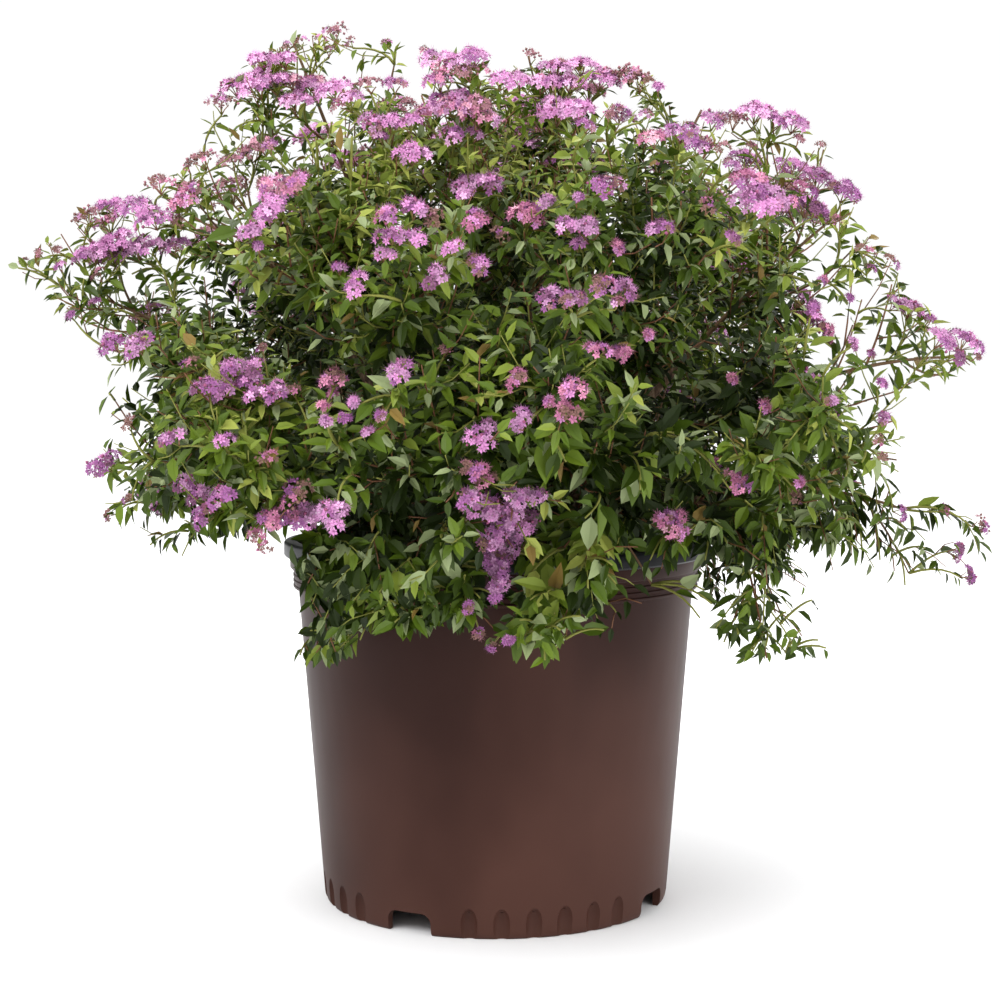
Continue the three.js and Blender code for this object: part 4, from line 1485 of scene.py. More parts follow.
@dataclass
class Foliage:
    """The leaves of the crown, gathered tier by tier.

    Leaf lengths and heights above the pot are in mm, rises in degrees, and the rest are shares:
    of a leaf's length, of the way from foot to tip, or of the leaves that turn out so.
    """

    crown: Crown
    longest: float = 24.5
    shortest: float = 7.5
    large: float = 17.5
    slimness: tuple[float, float] = (0.3, 0.46)
    relief: float = 0.55
    faces: int = 5
    broad_spacing: float = 4.0
    broad_growth: float = 1.25
    tip_share: float = 0.62
    growths: tuple[float, float] = (0.55, 1.0)
    rise_shares: tuple[float, float] = (1.1, 0.82)
    steep: float = 60.0
    under_blossom: float = 0.86
    free_share: float = 0.75
    sprig_share: float = 0.84
    sags: tuple[float, float, float] = (0.24, 0.62, 0.9)
    level_rise: float = 4.0
    low_height: float = 15.0
    last: float = 0.98
    sway: float = 0.35
    forward: tuple[float, float] = (0.35, 0.75)
    aside: float = 0.85
    droops: tuple[float, float] = (0.3, 1.2)
    lifts: tuple[float, float] = (0.35, 1.2)
    facing_sway: float = 0.9
    placed_luck: float = 0.35
    openness: float = 0.75
    outside: float = 5.0
    # The share of pale silvery leaves, partly their own colour and partly painted sheen highlight.
    silver_and_sheen: float = 0.11
    bronze: float = 0.12
    lighter: float = 0.3
    darker: float = 0.7
    leaves: list[Leaf] = field(default_factory=list)

    def dress(self, limb: Limb, random: Seeded) -> None:
        """Leaves in turn along a limb, from its end back to its first leaf."""
        rule = limb.rule
        length = path_length(limb.points)
        count = max(round(length * (1 - rule.first_leaf) / rule.leaf_spacing), 2)
        if limb.tone is Tone.BROAD:
            count = min(count, round(limb.head_width / self.broad_spacing))
        first_rank = random() * self.faces
        upright, level, low = self.sags
        sag = level if limb.space.mass.rise < self.level_rise else upright
        if limb.points[-1][2] < POT.height + self.low_height:
            sag = low
        for number in range(count):
            share = lerp(self.last, rule.first_leaf, (number + 0.5) / count)
            point, along = on_path(limb.points, share)
            side = face_of(along, self.faces, first_rank + 2 * number + random.sway(self.sway))
            lean = along * random.between(*self.forward) + side * self.aside
            lean = unit(lean - UP * sag * random.between(*self.droops))
            facing = unit(point - CROWN_CENTRE) + UP * random.between(*self.lifts)
            facing = facing + np.array([random() - 0.5 for _ in range(3)]) * self.facing_sway
            size = self.size_of(limb, share, random)
            green = self.green_of(limb, random)
            luck = random()
            if limb.tone is Tone.BROAD:
                luck = 1.0
            elif limb.head_width:
                luck = lerp(self.placed_luck, 1, luck)
            self.leaves.append(
                Leaf(limb.space.index, point, lean, facing, size, green, random(), luck)
            )

    def size_of(self, limb: Limb, share: float, random: Seeded) -> float:
        """A leaf's length: shorter towards the shoot's tip and under blossom."""
        size = lerp(self.longest, self.longest * self.tip_share, share)
        size *= random.between(*self.growths)
        size *= lerp(*self.rise_shares, within(limb.space.mass.rise / self.steep))
        if limb.tone is Tone.BROAD:
            return size * self.broad_growth
        if limb.blooms:
            size *= self.under_blossom
        if hangs_free(limb.points[-1]):
            size *= self.free_share
        return max(size * (self.sprig_share if limb.rule is SPRIG else 1.0), self.shortest)

    def green_of(self, limb: Limb, random: Seeded) -> int:
        """A leaf's finish: its shoot's green, or a step lighter or darker."""
        roll = random()
        if roll < self.silver_and_sheen:
            return SILVER_AND_SHEEN
        if roll < self.bronze:
            return BRONZE
        step = -1 if roll < self.lighter else 1 if roll > self.darker else 0
        return min(max(limb.green + step, LIT_YOUNG), SHADE)

    def kept(self, heads: list[tuple[Array, float]]) -> list[Leaf]:
        """The leaves that touch neither pot nor bough and hide no corymb of the best side."""
        roots = np.array([leaf.root for leaf in self.leaves])
        leans = np.array([leaf.lean for leaf in self.leaves])
        sizes = np.array([leaf.size for leaf in self.leaves])[:, None]
        keep = np.ones(len(roots), bool)
        for share in (0.5, 1.0):
            places = roots + leans * sizes * share
            keep &= beside_pot(places, 1, 1)
            keep &= self.off_boughs(places)
        tips = roots + leans * sizes
        keep &= ((tips > BOX_LOW - LEAF_ROOM) & (tips < BOX_HIGH + LEAF_ROOM)).all(1)
        keep &= VIEW.depths(tips) > -self.outside
        lucks = np.array([leaf.luck for leaf in self.leaves])
        keep &= lucks > VIEW.openness(roots) * self.openness
        middles = roots + leans * sizes * 0.5
        for place, width in heads:
            ray = unit(place - VIEW.eye)
            ahead = (middles - VIEW.eye) @ ray
            aside = np.linalg.norm(middles - VIEW.eye - ahead[:, None] * ray, axis=1)
            hides = ahead < np.linalg.norm(place - VIEW.eye) + 2
            keep &= ~(hides & (aside < width * 0.5))
        return [leaf for leaf, kept in zip(self.leaves, keep) if kept]

    def off_boughs(self, places: Array) -> Array:
        """Which places are clear of every bough."""
        clear = np.ones(len(places), bool)
        crown = self.crown
        for start, end, radius in zip(crown.bough_starts, crown.bough_ends, crown.bough_radii):
            step = end - start
            share = ((places - start) @ step / (step @ step)).clip(0, 1)[:, None]
            clear &= np.linalg.norm(places - start - share * step, axis=1) > radius + 1
        return clear

    def build(self, heads: list[tuple[Array, float]]) -> list[bpy.types.Object]:
        """Makes one joined piece of leaves for each tier."""
        kept = self.kept(heads)
        LOG.info("leaves kept %d of %d", len(kept), len(self.leaves))
        pieces = []
        for tier, name in enumerate(TIERS):
            chosen = [leaf for leaf in kept if tier_of(MASSES[leaf.space]) == tier]
            gathered = Gathered()
            for kind, shapes in enumerate(zip(SMALL_LEAVES, LARGE_LEAVES)):
                alike = [leaf for leaf in chosen if int(leaf.kind * len(LEAF_BENDS)) == kind]
                for large, shape in enumerate(shapes):
                    sized = [leaf for leaf in alike if (leaf.size > self.large) == large]
                    self.gather(gathered, shape, sized)
            pieces.append(gathered.piece(f"leaves_{name}", LEAF_FINISHES))
        return pieces

    def gather(self, gathered: Gathered, shape: Shape, leaves: list[Leaf]) -> None:
        """Adds the leaves of one shape."""
        if not leaves:
            return
        leans = np.array([leaf.lean for leaf in leaves])
        facings = np.array([leaf.facing for leaf in leaves])
        normals = units(facings - leans * (facings * leans).sum(1)[:, None])
        sides = np.cross(normals, leans)
        sizes = np.array([leaf.size for leaf in leaves])
        rolls = [leaf.kind * SLIM_ROLL % 1 for leaf in leaves]
        slim = np.array([lerp(*self.slimness, roll) for roll in rolls])
        frames = np.stack([leans, sides * slim[:, None], normals * self.relief], axis=1)
        feet = np.array([leaf.root for leaf in leaves])
        tones = np.array([leaf.green for leaf in leaves])
        gathered.add_copies(shape, feet, frames * sizes[:, None, None], tones)


def tier_of(mass: Mass) -> int:
    """The tier of the crown that a mass belongs to."""
    first = mass.name.split("_")[0]
    return next(index for index, name in enumerate(TIERS) if first in name.split("_"))


# ------------------------------------------------------------------ blossom


# The corners of a petal and of a stamen: how far round from its middle, how far out, how high.
PETAL_CORNERS = ((-0.5, 0.36, 0.06), (0.0, 0.56, 0.1), (0.5, 0.36, 0.06))
STAMEN_CORNERS = ((-0.5, 0.08, 0.0), (0.5, 0.08, 0.0), (0.0, 0.4, 0.62))


def floret_shape() -> Shape:
    """An open floret, one across, facing +Z: five petals and a tuft of stamens."""
    corners: list[tuple[float, float, float]] = [(0.0, 0.0, -0.04)]
    faces = []
    turns = [(petal * 2 * math.pi / 5, PETAL_CORNERS) for petal in range(5)]
    turns += [(stamen * math.pi / 2 + 0.4, STAMEN_CORNERS) for stamen in range(4)]
    for turn, places in turns:
        first = len(corners)
        for off, reach, lift in places:
            angle = turn + off
            corners.append((reach * math.cos(angle), reach * math.sin(angle), lift))
        if places is PETAL_CORNERS:
            faces += [(0, first, first + 1), (0, first + 1, first + 2)]
        else:
            faces.append((first, first + 1, first + 2))
    return Shape(np.array(corners), np.array(faces))


def bud_shape() -> Shape:
    """A round bud, one across, on the origin."""
    corners = [(0.5, 0, 0.4), (0, 0.5, 0.4), (-0.5, 0, 0.4), (0, -0.5, 0.4)]
    corners += [(0, 0, 0.95), (0, 0, -0.1)]
    faces = []
    for side in range(4):
        following = (side + 1) % 4
        faces += [(side, following, 4), (following, side, 5)]
    return Shape(np.array(corners), np.array(faces))


# Painted shade darkens petals below this height, which rises to the right; painted light lifts them
# well above it.
PAINTED_SHADE_HEIGHT, PAINTED_SHADE_SLOPE, PAINTED_SHADE_SPAN, PAINTED_SHADE_CHANCE = 430, 0.2, 75, 0.9
PAINTED_LIGHT_LEVEL, PAINTED_LIGHT_CHANCE = 1.3, 0.4


def painted_step_of(finish: int, place: Array, random: Seeded) -> int:
    """A petal a step darker low in the crown as painted shade, or a step lighter at its top on the
    left as painted light.
    """
    level = (place[2] - PAINTED_SHADE_HEIGHT - place[0] * PAINTED_SHADE_SLOPE) / PAINTED_SHADE_SPAN
    if random() < lerp(PAINTED_SHADE_CHANCE, 0.0, within(level)):
        return PAINTED_SHADE_STEP.get(finish, finish)
    painted_lit = level > PAINTED_LIGHT_LEVEL and random() < PAINTED_LIGHT_CHANCE
    return PAINTED_LIGHT_STEP.get(finish, finish) if painted_lit else finish


class Head(NamedTuple):
    """A corymb before it is meshed."""

    space: int
    foot: Array
    axis: Array
    width: float
    tone: Tone
    seed: int


class Bloom(NamedTuple):
    """A floret or a bud before it is meshed."""

    place: Array
    facing: Array
    size: float
    finish: int


@dataclass
class Blossom:
    """The corymbs: flat-topped heads of small clusters of florets, on branching stalks.

    Florets, clusters, their pitch, stalks and heights are in mm, tilts and turns in radians, and
    the rest are shares: of a head's width, or of the florets that turn out so.
    """

    floret: float = 4.6
    cluster: float = 5.0
    pitch: float = 9.5
    fill: float = 0.8
    full_width: float = 20.0
    thinnest: float = 0.55
    dome: float = 1.5
    rim: float = 0.8
    least_reach: float = 0.15
    sway: float = 1.6
    ring_sway: tuple[float, float] = (0.9, 1.08)
    bend: tuple[float, float] = (0.35, 0.55)
    stalk_radii: tuple[float, float, float] = (0.5, 0.4, 0.35)
    tilt: float = 1.25
    florets: tuple[int, int] = (11, 9)
    main_share: float = 0.62
    bud_share: float = 0.09
    dusty_bud_share: float = 0.45
    bud_sizes: tuple[float, float] = (1.8, 2.8)
    floret_sizes: tuple[float, float] = (0.8, 1.15)
    cap_sway: tuple[float, float] = (0.75, 1.05)
    turn_sway: float = 0.3
    low_height: float = 25.0
    heads: list[Head] = field(default_factory=list)

    def crown_with(self, limb: Limb, width: float, tone: Tone, random: Seeded) -> None:
        """Sets a corymb on a limb's end."""
        _, along = on_path(limb.points, 1.0)
        room = width * 0.5 - LEAF_ROOM + np.array([self.cluster, self.cluster, 0])
        foot = limb.points[-1] = np.clip(limb.points[-1], BOX_LOW + room, BOX_HIGH - room)
        outward = unit(foot - CROWN_CENTRE)
        axis = unit(UP * HEAD_UP + outward * HEAD_OUT + along * HEAD_ALONG)
        if foot[2] < POT.height + self.low_height:
            axis = unit(UP * LOW_HEAD_UP + outward * LOW_HEAD_OUT + along * HEAD_ALONG)
        seed = int(random() * 1e6)
        self.heads.append(Head(limb.space.index, foot, axis, width, tone, seed))

    def build(self) -> list[bpy.types.Object]:
        """Makes one joined piece of petals and one of stalks for each tier."""
        pieces = []
        for tier, name in enumerate(TIERS):
            petals: list[Bloom] = []
            buds: list[Bloom] = []
            stalks = Gathered()
            for head in self.heads:
                if tier_of(MASSES[head.space]) == tier:
                    self.spread(head, petals, buds, stalks)
            gathered = Gathered()
            self.gather(gathered, floret_shape(), petals)
            self.gather(gathered, bud_shape(), buds)
            pieces.append(gathered.piece(f"blossom_{name}", PETAL_FINISHES))
            pieces.append(stalks.piece(f"flower_stalks_{name}", TWIG_FINISHES))
        return pieces

    def spread(self, head: Head, petals: list[Bloom], buds: list[Bloom], stalks: Gathered
               ) -> None:
        """Spreads one corymb's clusters over its flat dome, and florets over each cluster."""
        foot, axis, width = head.foot, head.axis, head.width
        random = Seeded(head.seed)
        reach = max(width / 2 - self.cluster * self.rim, width * self.least_reach)
        count = max(round((width / self.pitch) ** 2 * self.fill), 2)
        mix = PETAL_MIX[head.tone]
        for number in range(count):
            away = reach * math.sqrt((number + 0.35) / count) * random.between(*self.ring_sway)
            turn = number * GOLDEN_TURN + head.seed
            level = width * HEAD_RISE - away**2 / (width * self.dome) + random.sway(self.sway)
            across = leaning(*square_pair(axis), turn)
            centre = foot + across * away + axis * level
            bend = foot + across * away * self.bend[0] + axis * level * self.bend[1]
            path = Arc(foot, bend, centre).points(0, 1, 2)
            finish = STALK_PINK if random() < 0.5 else TWIG_GREEN
            stalks.add_tube(path, np.array(self.stalk_radii), 3, finish)
            lean = unit(axis + across * away / width * self.dome)
            main = mix[int(random() * len(mix))]
            self.cluster_of(head, centre, lean, main, random, petals, buds)

    def cluster_of(self, head: Head, centre: Array, lean: Array, main: int, random: Seeded,
                   petals: list[Bloom], buds: list[Bloom]) -> None:
        """Sets the florets and buds of one small cluster over a round cap.

        Args:
            head: The corymb that the cluster belongs to.
            centre: The middle of its cap.
            lean: The way that it faces.
            main: The finish that most of its petals take.
            random: The stream that varies them.
            petals: Where its florets are gathered.
            buds: Where its buds are gathered.
        """
        mix, dusty = PETAL_MIX[head.tone], head.tone is Tone.DUSTY
        fullness = min(max(head.width / self.full_width, self.thinnest), 1.0)
        count = self.florets[dusty]
        for number in range(count):
            tilt = self.tilt * math.sqrt((number + 0.3) / count)
            turn = number * GOLDEN_TURN + random.sway(self.turn_sway)
            out = leaning(lean, leaning(*square_pair(lean), turn), tilt)
            place = centre + out * self.cluster * fullness * random.between(*self.cap_sway)
            finish = main if random() < self.main_share else mix[int(random() * len(mix))]
            # Painted shade low in the crown, painted light at its top on the left.
            finish = painted_step_of(finish, centre, random)
            if dusty and random() < self.dusty_bud_share or random() < self.bud_share:
                size = random.between(*self.bud_sizes) * fullness
                buds.append(Bloom(place, out, size, finish if dusty else BUD))
            else:
                size = self.floret * random.between(*self.floret_sizes)
                petals.append(Bloom(place, out, size * lerp(0.5, 1, fullness), finish))

    def gather(self, gathered: Gathered, shape: Shape, blooms: list[Bloom]) -> None:
        """Adds the florets or buds, each facing its own way."""
        if not blooms:
            return
        feet, axes, sizes, tones = (np.array(values) for values in zip(*blooms))
        helper = np.where(np.abs(axes[:, 2:]) > STEEP, EAST, UP)
        rights = units(np.cross(axes, helper))
        frames = np.stack([rights, np.cross(axes, rights), axes], axis=1)
        gathered.add_copies(shape, feet, frames * sizes[:, None, None], tones)


# ------------------------------------------------------------------ the crown's pieces


@dataclass
class CrownPieces:
    """Grows the whole crown and makes its joined pieces."""

    head_widths: tuple[float, float] = (24.0, 42.0)
    least_head: float = 8.0
    inset: float = 36.0
    inner_reach: float = 215.0
    least_facing: float = 0.02
    low_height: float = 5.0
    tones: tuple[Tone, ...] = (B, L, B, P, D)

    def build(self) -> dict[str, list[bpy.types.Object]]:
        """Makes the leaves, twigs and blossom, and returns the pieces by tier."""
        crown = Crown()
        limbs = Growth(crown).grow()
        LOG.info("limbs %d", len(limbs))
        foliage, blossom = Foliage(crown), Blossom()
        twigs = [Gathered() for _ in TIERS]
        for number, limb in enumerate(limbs):
            random = Stream.ENDS.start(number)
            self.finish_end(limb, blossom, random)
            self.twig(twigs[tier_of(limb.space.mass)], limb)
            foliage.dress(limb, random)
        middles = [
            (head.foot + head.axis * head.width * HEAD_RISE, head.width) for head in blossom.heads
        ]
        shown = [(place, width) for place, width in middles if self.faces_viewer(place)]
        pieces = foliage.build(shown)
        pieces += blossom.build()
        pieces += [g.piece(f"twigs_{name}", TWIG_FINISHES) for g, name in zip(twigs, TIERS)]
        LOG.info("corymbs %d", len(blossom.heads))
        return {name: [p for p in pieces if p.name.endswith(name)] for name in TIERS}

    def twig(self, gathered: Gathered, limb: Limb) -> None:
        """Adds a limb as a tapering tube."""
        radii = np.linspace(*limb.radii, len(limb.points))
        gathered.add_tube(limb.points, radii, limb.sides, limb.finish)

    def finish_end(self, limb: Limb, blossom: Blossom, random: Seeded) -> None:
        """Sets a corymb on a limb that blooms, away from the shoots placed on the best side."""
        if limb.tone in PETAL_MIX:
            width = max(limb.head_width, self.least_head)
            blossom.crown_with(limb, width, limb.tone, random)
            return
        tip = limb.points[-1]
        tone = self.tones[int(random() * len(self.tones))]
        limb.blooms = bool(
            limb.blooms and not limb.head_width and not self.faces_viewer(tip)
            and limb.rule is not SPRIG and VIEW.depths(tip[None])[0] >= self.inset
            and np.linalg.norm(tip - CROWN_CENTRE) >= self.inner_reach
            and tip[2] >= POT.height + self.low_height
        )
        if limb.blooms:
            blossom.crown_with(limb, random.between(*self.head_widths), tone, random)

    def faces_viewer(self, place: Array) -> bool:
        """Whether a place of the crown's surface shows from the best side."""
        outward = unit(place - CROWN_CENTRE)
        return bool(outward @ unit(VIEW.eye - place) > self.least_facing)


# ------------------------------------------------------------------ modelled pieces


def deselect() -> None:
    """Leaves no object selected."""
    for thing in bpy.context.selected_objects:
        thing.select_set(False)


def pick(piece: bpy.types.Object) -> None:
    """Makes a piece the active one and the only one selected."""
    deselect()
    piece.select_set(True)
    bpy.context.view_layer.objects.active = piece


def freeze() -> None:
    """Applies the selected piece's place, turn and size to its mesh."""
    bpy.ops.object.transform_apply(location=True, rotation=True, scale=True)


def apply_modifiers(piece: bpy.types.Object) -> None:
    """Applies a piece's modifiers in order."""
    pick(piece)
    for modifier in list(piece.modifiers):
        bpy.ops.object.modifier_apply(modifier=modifier.name)


FLAT = 0.01  # how near to a height a corner is that counts as on it
CENTRE_SHARE = 0.02  # how small a ring is, of the last, before it is drawn to a point
WELD = 0.005  # corners nearer than this become one


class Wheel:
    """Shapes a round shell ring by ring, as on a potter's wheel, in metres."""

    def __init__(self, name: str, radius: float, height: float, sides: int) -> None:
        deselect()
        bpy.ops.mesh.primitive_circle_add(
            vertices=sides, radius=radius * MM, location=(0, 0, height * MM)
        )
        self.piece = bpy.context.object
        self.piece.name = name
        freeze()
        bpy.ops.object.mode_set(mode="EDIT")
        bpy.ops.mesh.select_all(action="SELECT")
        self.radius, self.height = radius, height

    def ring(self, radius: float, height: float) -> None:
        """Extrudes the open edge to another radius and height."""
        rise = (height - self.height) * MM
        bpy.ops.mesh.extrude_region_move(TRANSFORM_OT_translate={"value": (0, 0, rise)})
        share = radius / self.radius
        bpy.ops.transform.resize(value=(share, share, 1), center_override=(0, 0, height * MM))
        self.radius, self.height = radius, height

    def close(self) -> None:
        """Closes the open edge to a point on the axis."""
        self.ring(self.radius * CENTRE_SHARE, self.height)
        bpy.ops.mesh.merge(type="CENTER")

    def done(self) -> bpy.types.Object:
        """Turns every face outwards, and leaves edit mode."""
        bpy.ops.mesh.select_all(action="SELECT")
        bpy.ops.mesh.remove_doubles(threshold=WELD * MM)
        bpy.ops.mesh.normals_make_consistent(inside=False)
        bpy.ops.object.mode_set(mode="OBJECT")
        return self.piece


@dataclass
class NurseryPot:
    """The blow-moulded pot: tapered wall, stepped lip, ridges, flutes and drain notches.

    Lengths are in mm and angles in degrees. An edge is how far a step's rim is cut back, and how
    far above the step its full radius is reached.
    """

    sizes: PotSizes = POT
    sides: int = 160
    flute_width: float = 10.5
    flute_height: float = 19.0
    flute_straight: float = 9.0
    flute_depth: float = 3.6
    flute_bite: float = 1.15
    flute_level: float = 8.0
    flutes: int = 6
    flute_step: float = 10.0
    notch_round: int = 5
    wall_rows: int = 8
    bend_rows: int = 5
    collar_edge: tuple[float, float] = (0.4, 0.8)
    band_edge: tuple[float, float] = (0.4, 0.7)
    lip_edge: tuple[float, float] = (0.9, 1.0)
    rim_edge: float = 0.8
    collar_inset: float = 0.6
    ridges: int = 3
    ridge_start: float = 1.6
    ridge_depth: float = 0.7
    ridge_rises: tuple[float, float, float] = (0.7, 1.5, 2.2)
    sharp: float = 32.0

    def build(self) -> bpy.types.Object:
        """Makes the pot and dresses it."""
        piece = self.shell()
        self.cut(piece, self.flute_cutters())
        self.cut(piece, self.notch_cutters())
        self.dress(piece)
        return piece

    def profile(self) -> list[tuple[float, float]]:
        """The outline of the pot's section from the foot's inside up over the lip and in."""
        s = self.sizes
        lip = s.height - s.lip_height
        band = lip - s.band_height
        collar = band - s.collar_height
        bends = [math.pi / 2 * step / self.bend_rows for step in range(self.bend_rows + 1)]
        rings = [(s.foot_radius - s.foot_inset - s.skirt, 0.0)]
        for turn in bends:
            radius = s.wall_radius(s.foot_height) - s.foot_inset * (1 - math.sin(turn))
            rings.append((radius, s.foot_height * (1 - math.cos(turn))))
        for row in range(1, self.wall_rows + 1):
            height = lerp(s.foot_height, collar - self.collar_inset, row / self.wall_rows)
            rings.append((s.wall_radius(height), height))
        rings += self.step_out(s.collar_radius, collar, self.collar_edge)
        inside = s.collar_radius - self.ridge_depth
        low, high, top = self.ridge_rises
        for ridge in range(self.ridges):
            base = collar + self.ridge_start + ridge * (s.collar_height - top) / self.ridges
            rings += [(s.collar_radius, base), (inside, base + low),
                      (inside, base + high), (s.collar_radius, base + top)]
        rings.append((s.collar_radius, band - 0.3))
        rings += self.step_out(s.band_radius, band, self.band_edge)
        rings.append((s.band_radius, lip - 0.5))
        rings += self.step_out(s.lip_radius, lip, self.lip_edge)
        for turn in bends:
            rings.append((s.lip_radius - s.lip_round * (1 - math.cos(turn)),
                          s.height - s.lip_round * (1 - math.sin(turn))))
        inner = s.wall_radius(s.height) - s.wall
        rings += [(inner + self.rim_edge, s.height), (inner, s.height - self.rim_edge)]
        rings.append((s.wall_radius(s.floor_top) - s.wall, s.floor_top))
        return rings

    def step_out(self, radius: float, height: float, edge: tuple[float, float]
                 ) -> list[tuple[float, float]]:
        """A step out to a wider radius, with its lower edge taken off."""
        return [(radius - edge[0], height), (radius, height + edge[1])]

    def shell(self) -> bpy.types.Object:
        """Turns the profile, and closes the raised floor above and below."""
        s = self.sizes
        first, *rest = self.profile()
        wheel = Wheel("nursery_pot", *first, self.sides)
        for ring in rest:
            wheel.ring(*ring)
        wheel.close()
        bpy.ops.mesh.select_all(action="DESELECT")
        bpy.ops.object.mode_set(mode="OBJECT")
        edge = first[0] * MM
        for vertex in wheel.piece.data.vertices:
            near = abs(vertex.co.xy.length - edge) < FLAT * MM
            vertex.select = near and vertex.co.z < FLAT * MM / 10
        bpy.ops.object.mode_set(mode="EDIT")
        bpy.ops.mesh.select_mode(type="EDGE")
        wheel.radius, wheel.height = first
        wheel.ring(first[0], s.floor_top - s.floor_thickness)
        wheel.close()
        return wheel.done()

    def flute_cutters(self) -> bpy.types.Object:
        """Round-headed cutters that scoop the flutes between the notches."""
        s = self.sizes
        scoops = []
        for quarter in range(s.notch_count):
            middle = s.notch_bearing + WHOLE_TURN / s.notch_count * (quarter + 0.5)
            for flute in range(self.flutes):
                bearing = middle + (flute - (self.flutes - 1) / 2) * self.flute_step
                scoops.append(self.scoop(bearing))
        return joined(scoops, "flute_cutters")

    def scoop(self, bearing: float) -> bpy.types.Object:
        """An upright round-headed bar that stands half in the wall and bites a flute from it."""
        deselect()
        off = self.flute_depth * self.flute_bite
        chord = math.sqrt(1 - (off / (off + self.flute_depth)) ** 2)
        bpy.ops.mesh.primitive_uv_sphere_add(segments=32, ring_count=24, radius=1)
        ball = bpy.context.object
        ball.scale = (
            (off + self.flute_depth) * MM, self.flute_width / 2 / chord * MM,
            (self.flute_height - self.flute_straight) / chord * MM,
        )
        ball.location = (self.sizes.wall_radius(self.flute_level) + off) * MM, 0, 0
        freeze()
        for vertex in ball.data.vertices:
            vertex.co.z += self.flute_straight * MM if vertex.co.z > 0 else 0
        ball.rotation_euler = 0, 0, math.radians(bearing)
        freeze()
        return ball

    def notch_cutters(self) -> bpy.types.Object:
        """Bars that open the drain notches through the skirt."""
        s = self.sizes
        bars = [
            self.bar(s.notch_bearing + WHOLE_TURN * number / s.notch_count, s.notch_width,
                     s.notch_height, s.foot_radius - s.notch_depth / 2, s.notch_depth)
            for number in range(s.notch_count)
        ]
        return joined(bars, "notch_cutters")

    def bar(self, bearing: float, width: float, height: float, inner: float, depth: float
            ) -> bpy.types.Object:
        """A box across the foot whose upper edges are rounded.

        Args:
            bearing: Where it stands round the pot, in degrees.
            width: Its width.
            height: Its top above the floor.
            inner: The radius at which it starts.
            depth: How far it runs outwards from there.

        Returns:
            The bar, in place.
        """
        deselect()
        bpy.ops.mesh.primitive_cube_add(size=1)
        box = bpy.context.object
        box.scale = depth * MM, width * MM, 2 * height * MM
        box.location = (inner + depth / 2) * MM, 0, 0
        freeze()
        for edge in box.data.edges:
            ends = [box.data.vertices[i].co for i in edge.vertices]
            top = all(end.z > 0 for end in ends)
            edge.select = top and abs(ends[0].x - ends[1].x) > depth * MM / 2
        bpy.ops.object.mode_set(mode="EDIT")
        bpy.ops.mesh.select_mode(type="EDGE")
        rounding = width / self.notch_round * MM
        bpy.ops.mesh.bevel(offset=rounding, segments=self.notch_round, affect="EDGES")
        bpy.ops.object.mode_set(mode="OBJECT")
        box.rotation_euler = 0, 0, math.radians(bearing)
        freeze()
        return box

    def cut(self, piece: bpy.types.Object, cutter: bpy.types.Object) -> None:
        """Takes a cutter out of the pot, and removes the cutter."""
        modifier = piece.modifiers.new("cut", "BOOLEAN")
        modifier.operation, modifier.solver, modifier.object = "DIFFERENCE", "EXACT", cutter
        apply_modifiers(piece)
        bpy.data.objects.remove(cutter)

    def dress(self, piece: bpy.types.Object) -> None:
        """Gives the lip its charcoal finish and the rest its brown."""
        piece.data.materials.clear()
        piece.data.materials.append(material_of(POT_BODY))
        piece.data.materials.append(material_of(POT_LIP))
        lip = (self.sizes.height - self.sizes.lip_height - self.collar_inset) * MM
        for face in piece.data.polygons:
            face.material_index = 1 if face.center.z > lip else 0
        smooth(piece, self.sharp)


def joined(pieces: list[bpy.types.Object], name: str) -> bpy.types.Object:
    """Joins objects into the first."""
    deselect()
    for piece in pieces:
        piece.select_set(True)
    bpy.context.view_layer.objects.active = pieces[0]
    if len(pieces) > 1:
        bpy.ops.object.join()
    pieces[0].name = name
    return pieces[0]


def smooth(piece: bpy.types.Object, degrees: float) -> None:
    """Shades a piece smooth, but for edges sharper than an angle."""
    pick(piece)
    bpy.ops.object.shade_smooth_by_angle(angle=math.radians(degrees))


def finish_with(piece: bpy.types.Object, finish: Earthy, degrees: float) -> None:
    """Gives a piece one finish, and shades it smooth but for edges sharper than an angle."""
    piece.data.materials.append(material_of(finish))
    smooth(piece, degrees)


def close_bottom(piece: bpy.types.Object, bottom: float) -> None:
    """Closes a turned piece's open underside."""
    for vertex in piece.data.vertices:
        vertex.select = vertex.co.z < (bottom + FLAT) * MM
    bpy.ops.object.mode_set(mode="EDIT")
    bpy.ops.mesh.select_mode(type="VERT")
    bpy.ops.mesh.edge_face_add()
    bpy.ops.object.mode_set(mode="OBJECT")


def roughen(piece: bpy.types.Object, size: float, depth: float) -> None:
    """Gives a piece a relief by displacing it with a cloudy noise.

    Args:
        piece: The piece, whose mesh is already fine enough.
        size: The width of the relief's features.
        depth: How far it rises and falls in all.
    """
    texture = bpy.data.textures.new(f"{piece.name}_relief", "CLOUDS")
    texture.noise_scale, texture.noise_depth = size * MM, 3
    modifier = piece.modifiers.new("relief", "DISPLACE")
    modifier.texture, modifier.texture_coords = texture, "LOCAL"
    modifier.strength, modifier.mid_level = depth * MM, 0.5
    apply_modifiers(piece)


# A chip of bark, about one long: a wedge whose top is narrower than its foot.
CHIP = Shape(
    np.array([(-0.5, -0.3, -0.12), (0.5, -0.22, -0.12), (0.42, 0.3, -0.12), (-0.4, 0.26, -0.12),
              (-0.42, -0.22, 0.14), (0.4, -0.16, 0.2), (0.34, 0.22, 0.12), (-0.3, 0.18, 0.2)]),
    np.array([(0, 2, 1), (0, 3, 2), (4, 5, 6), (4, 6, 7), (0, 1, 5), (0, 5, 4), (1, 2, 6),
              (1, 6, 5), (2, 3, 7), (2, 7, 6), (3, 0, 4), (3, 4, 7)]),
)


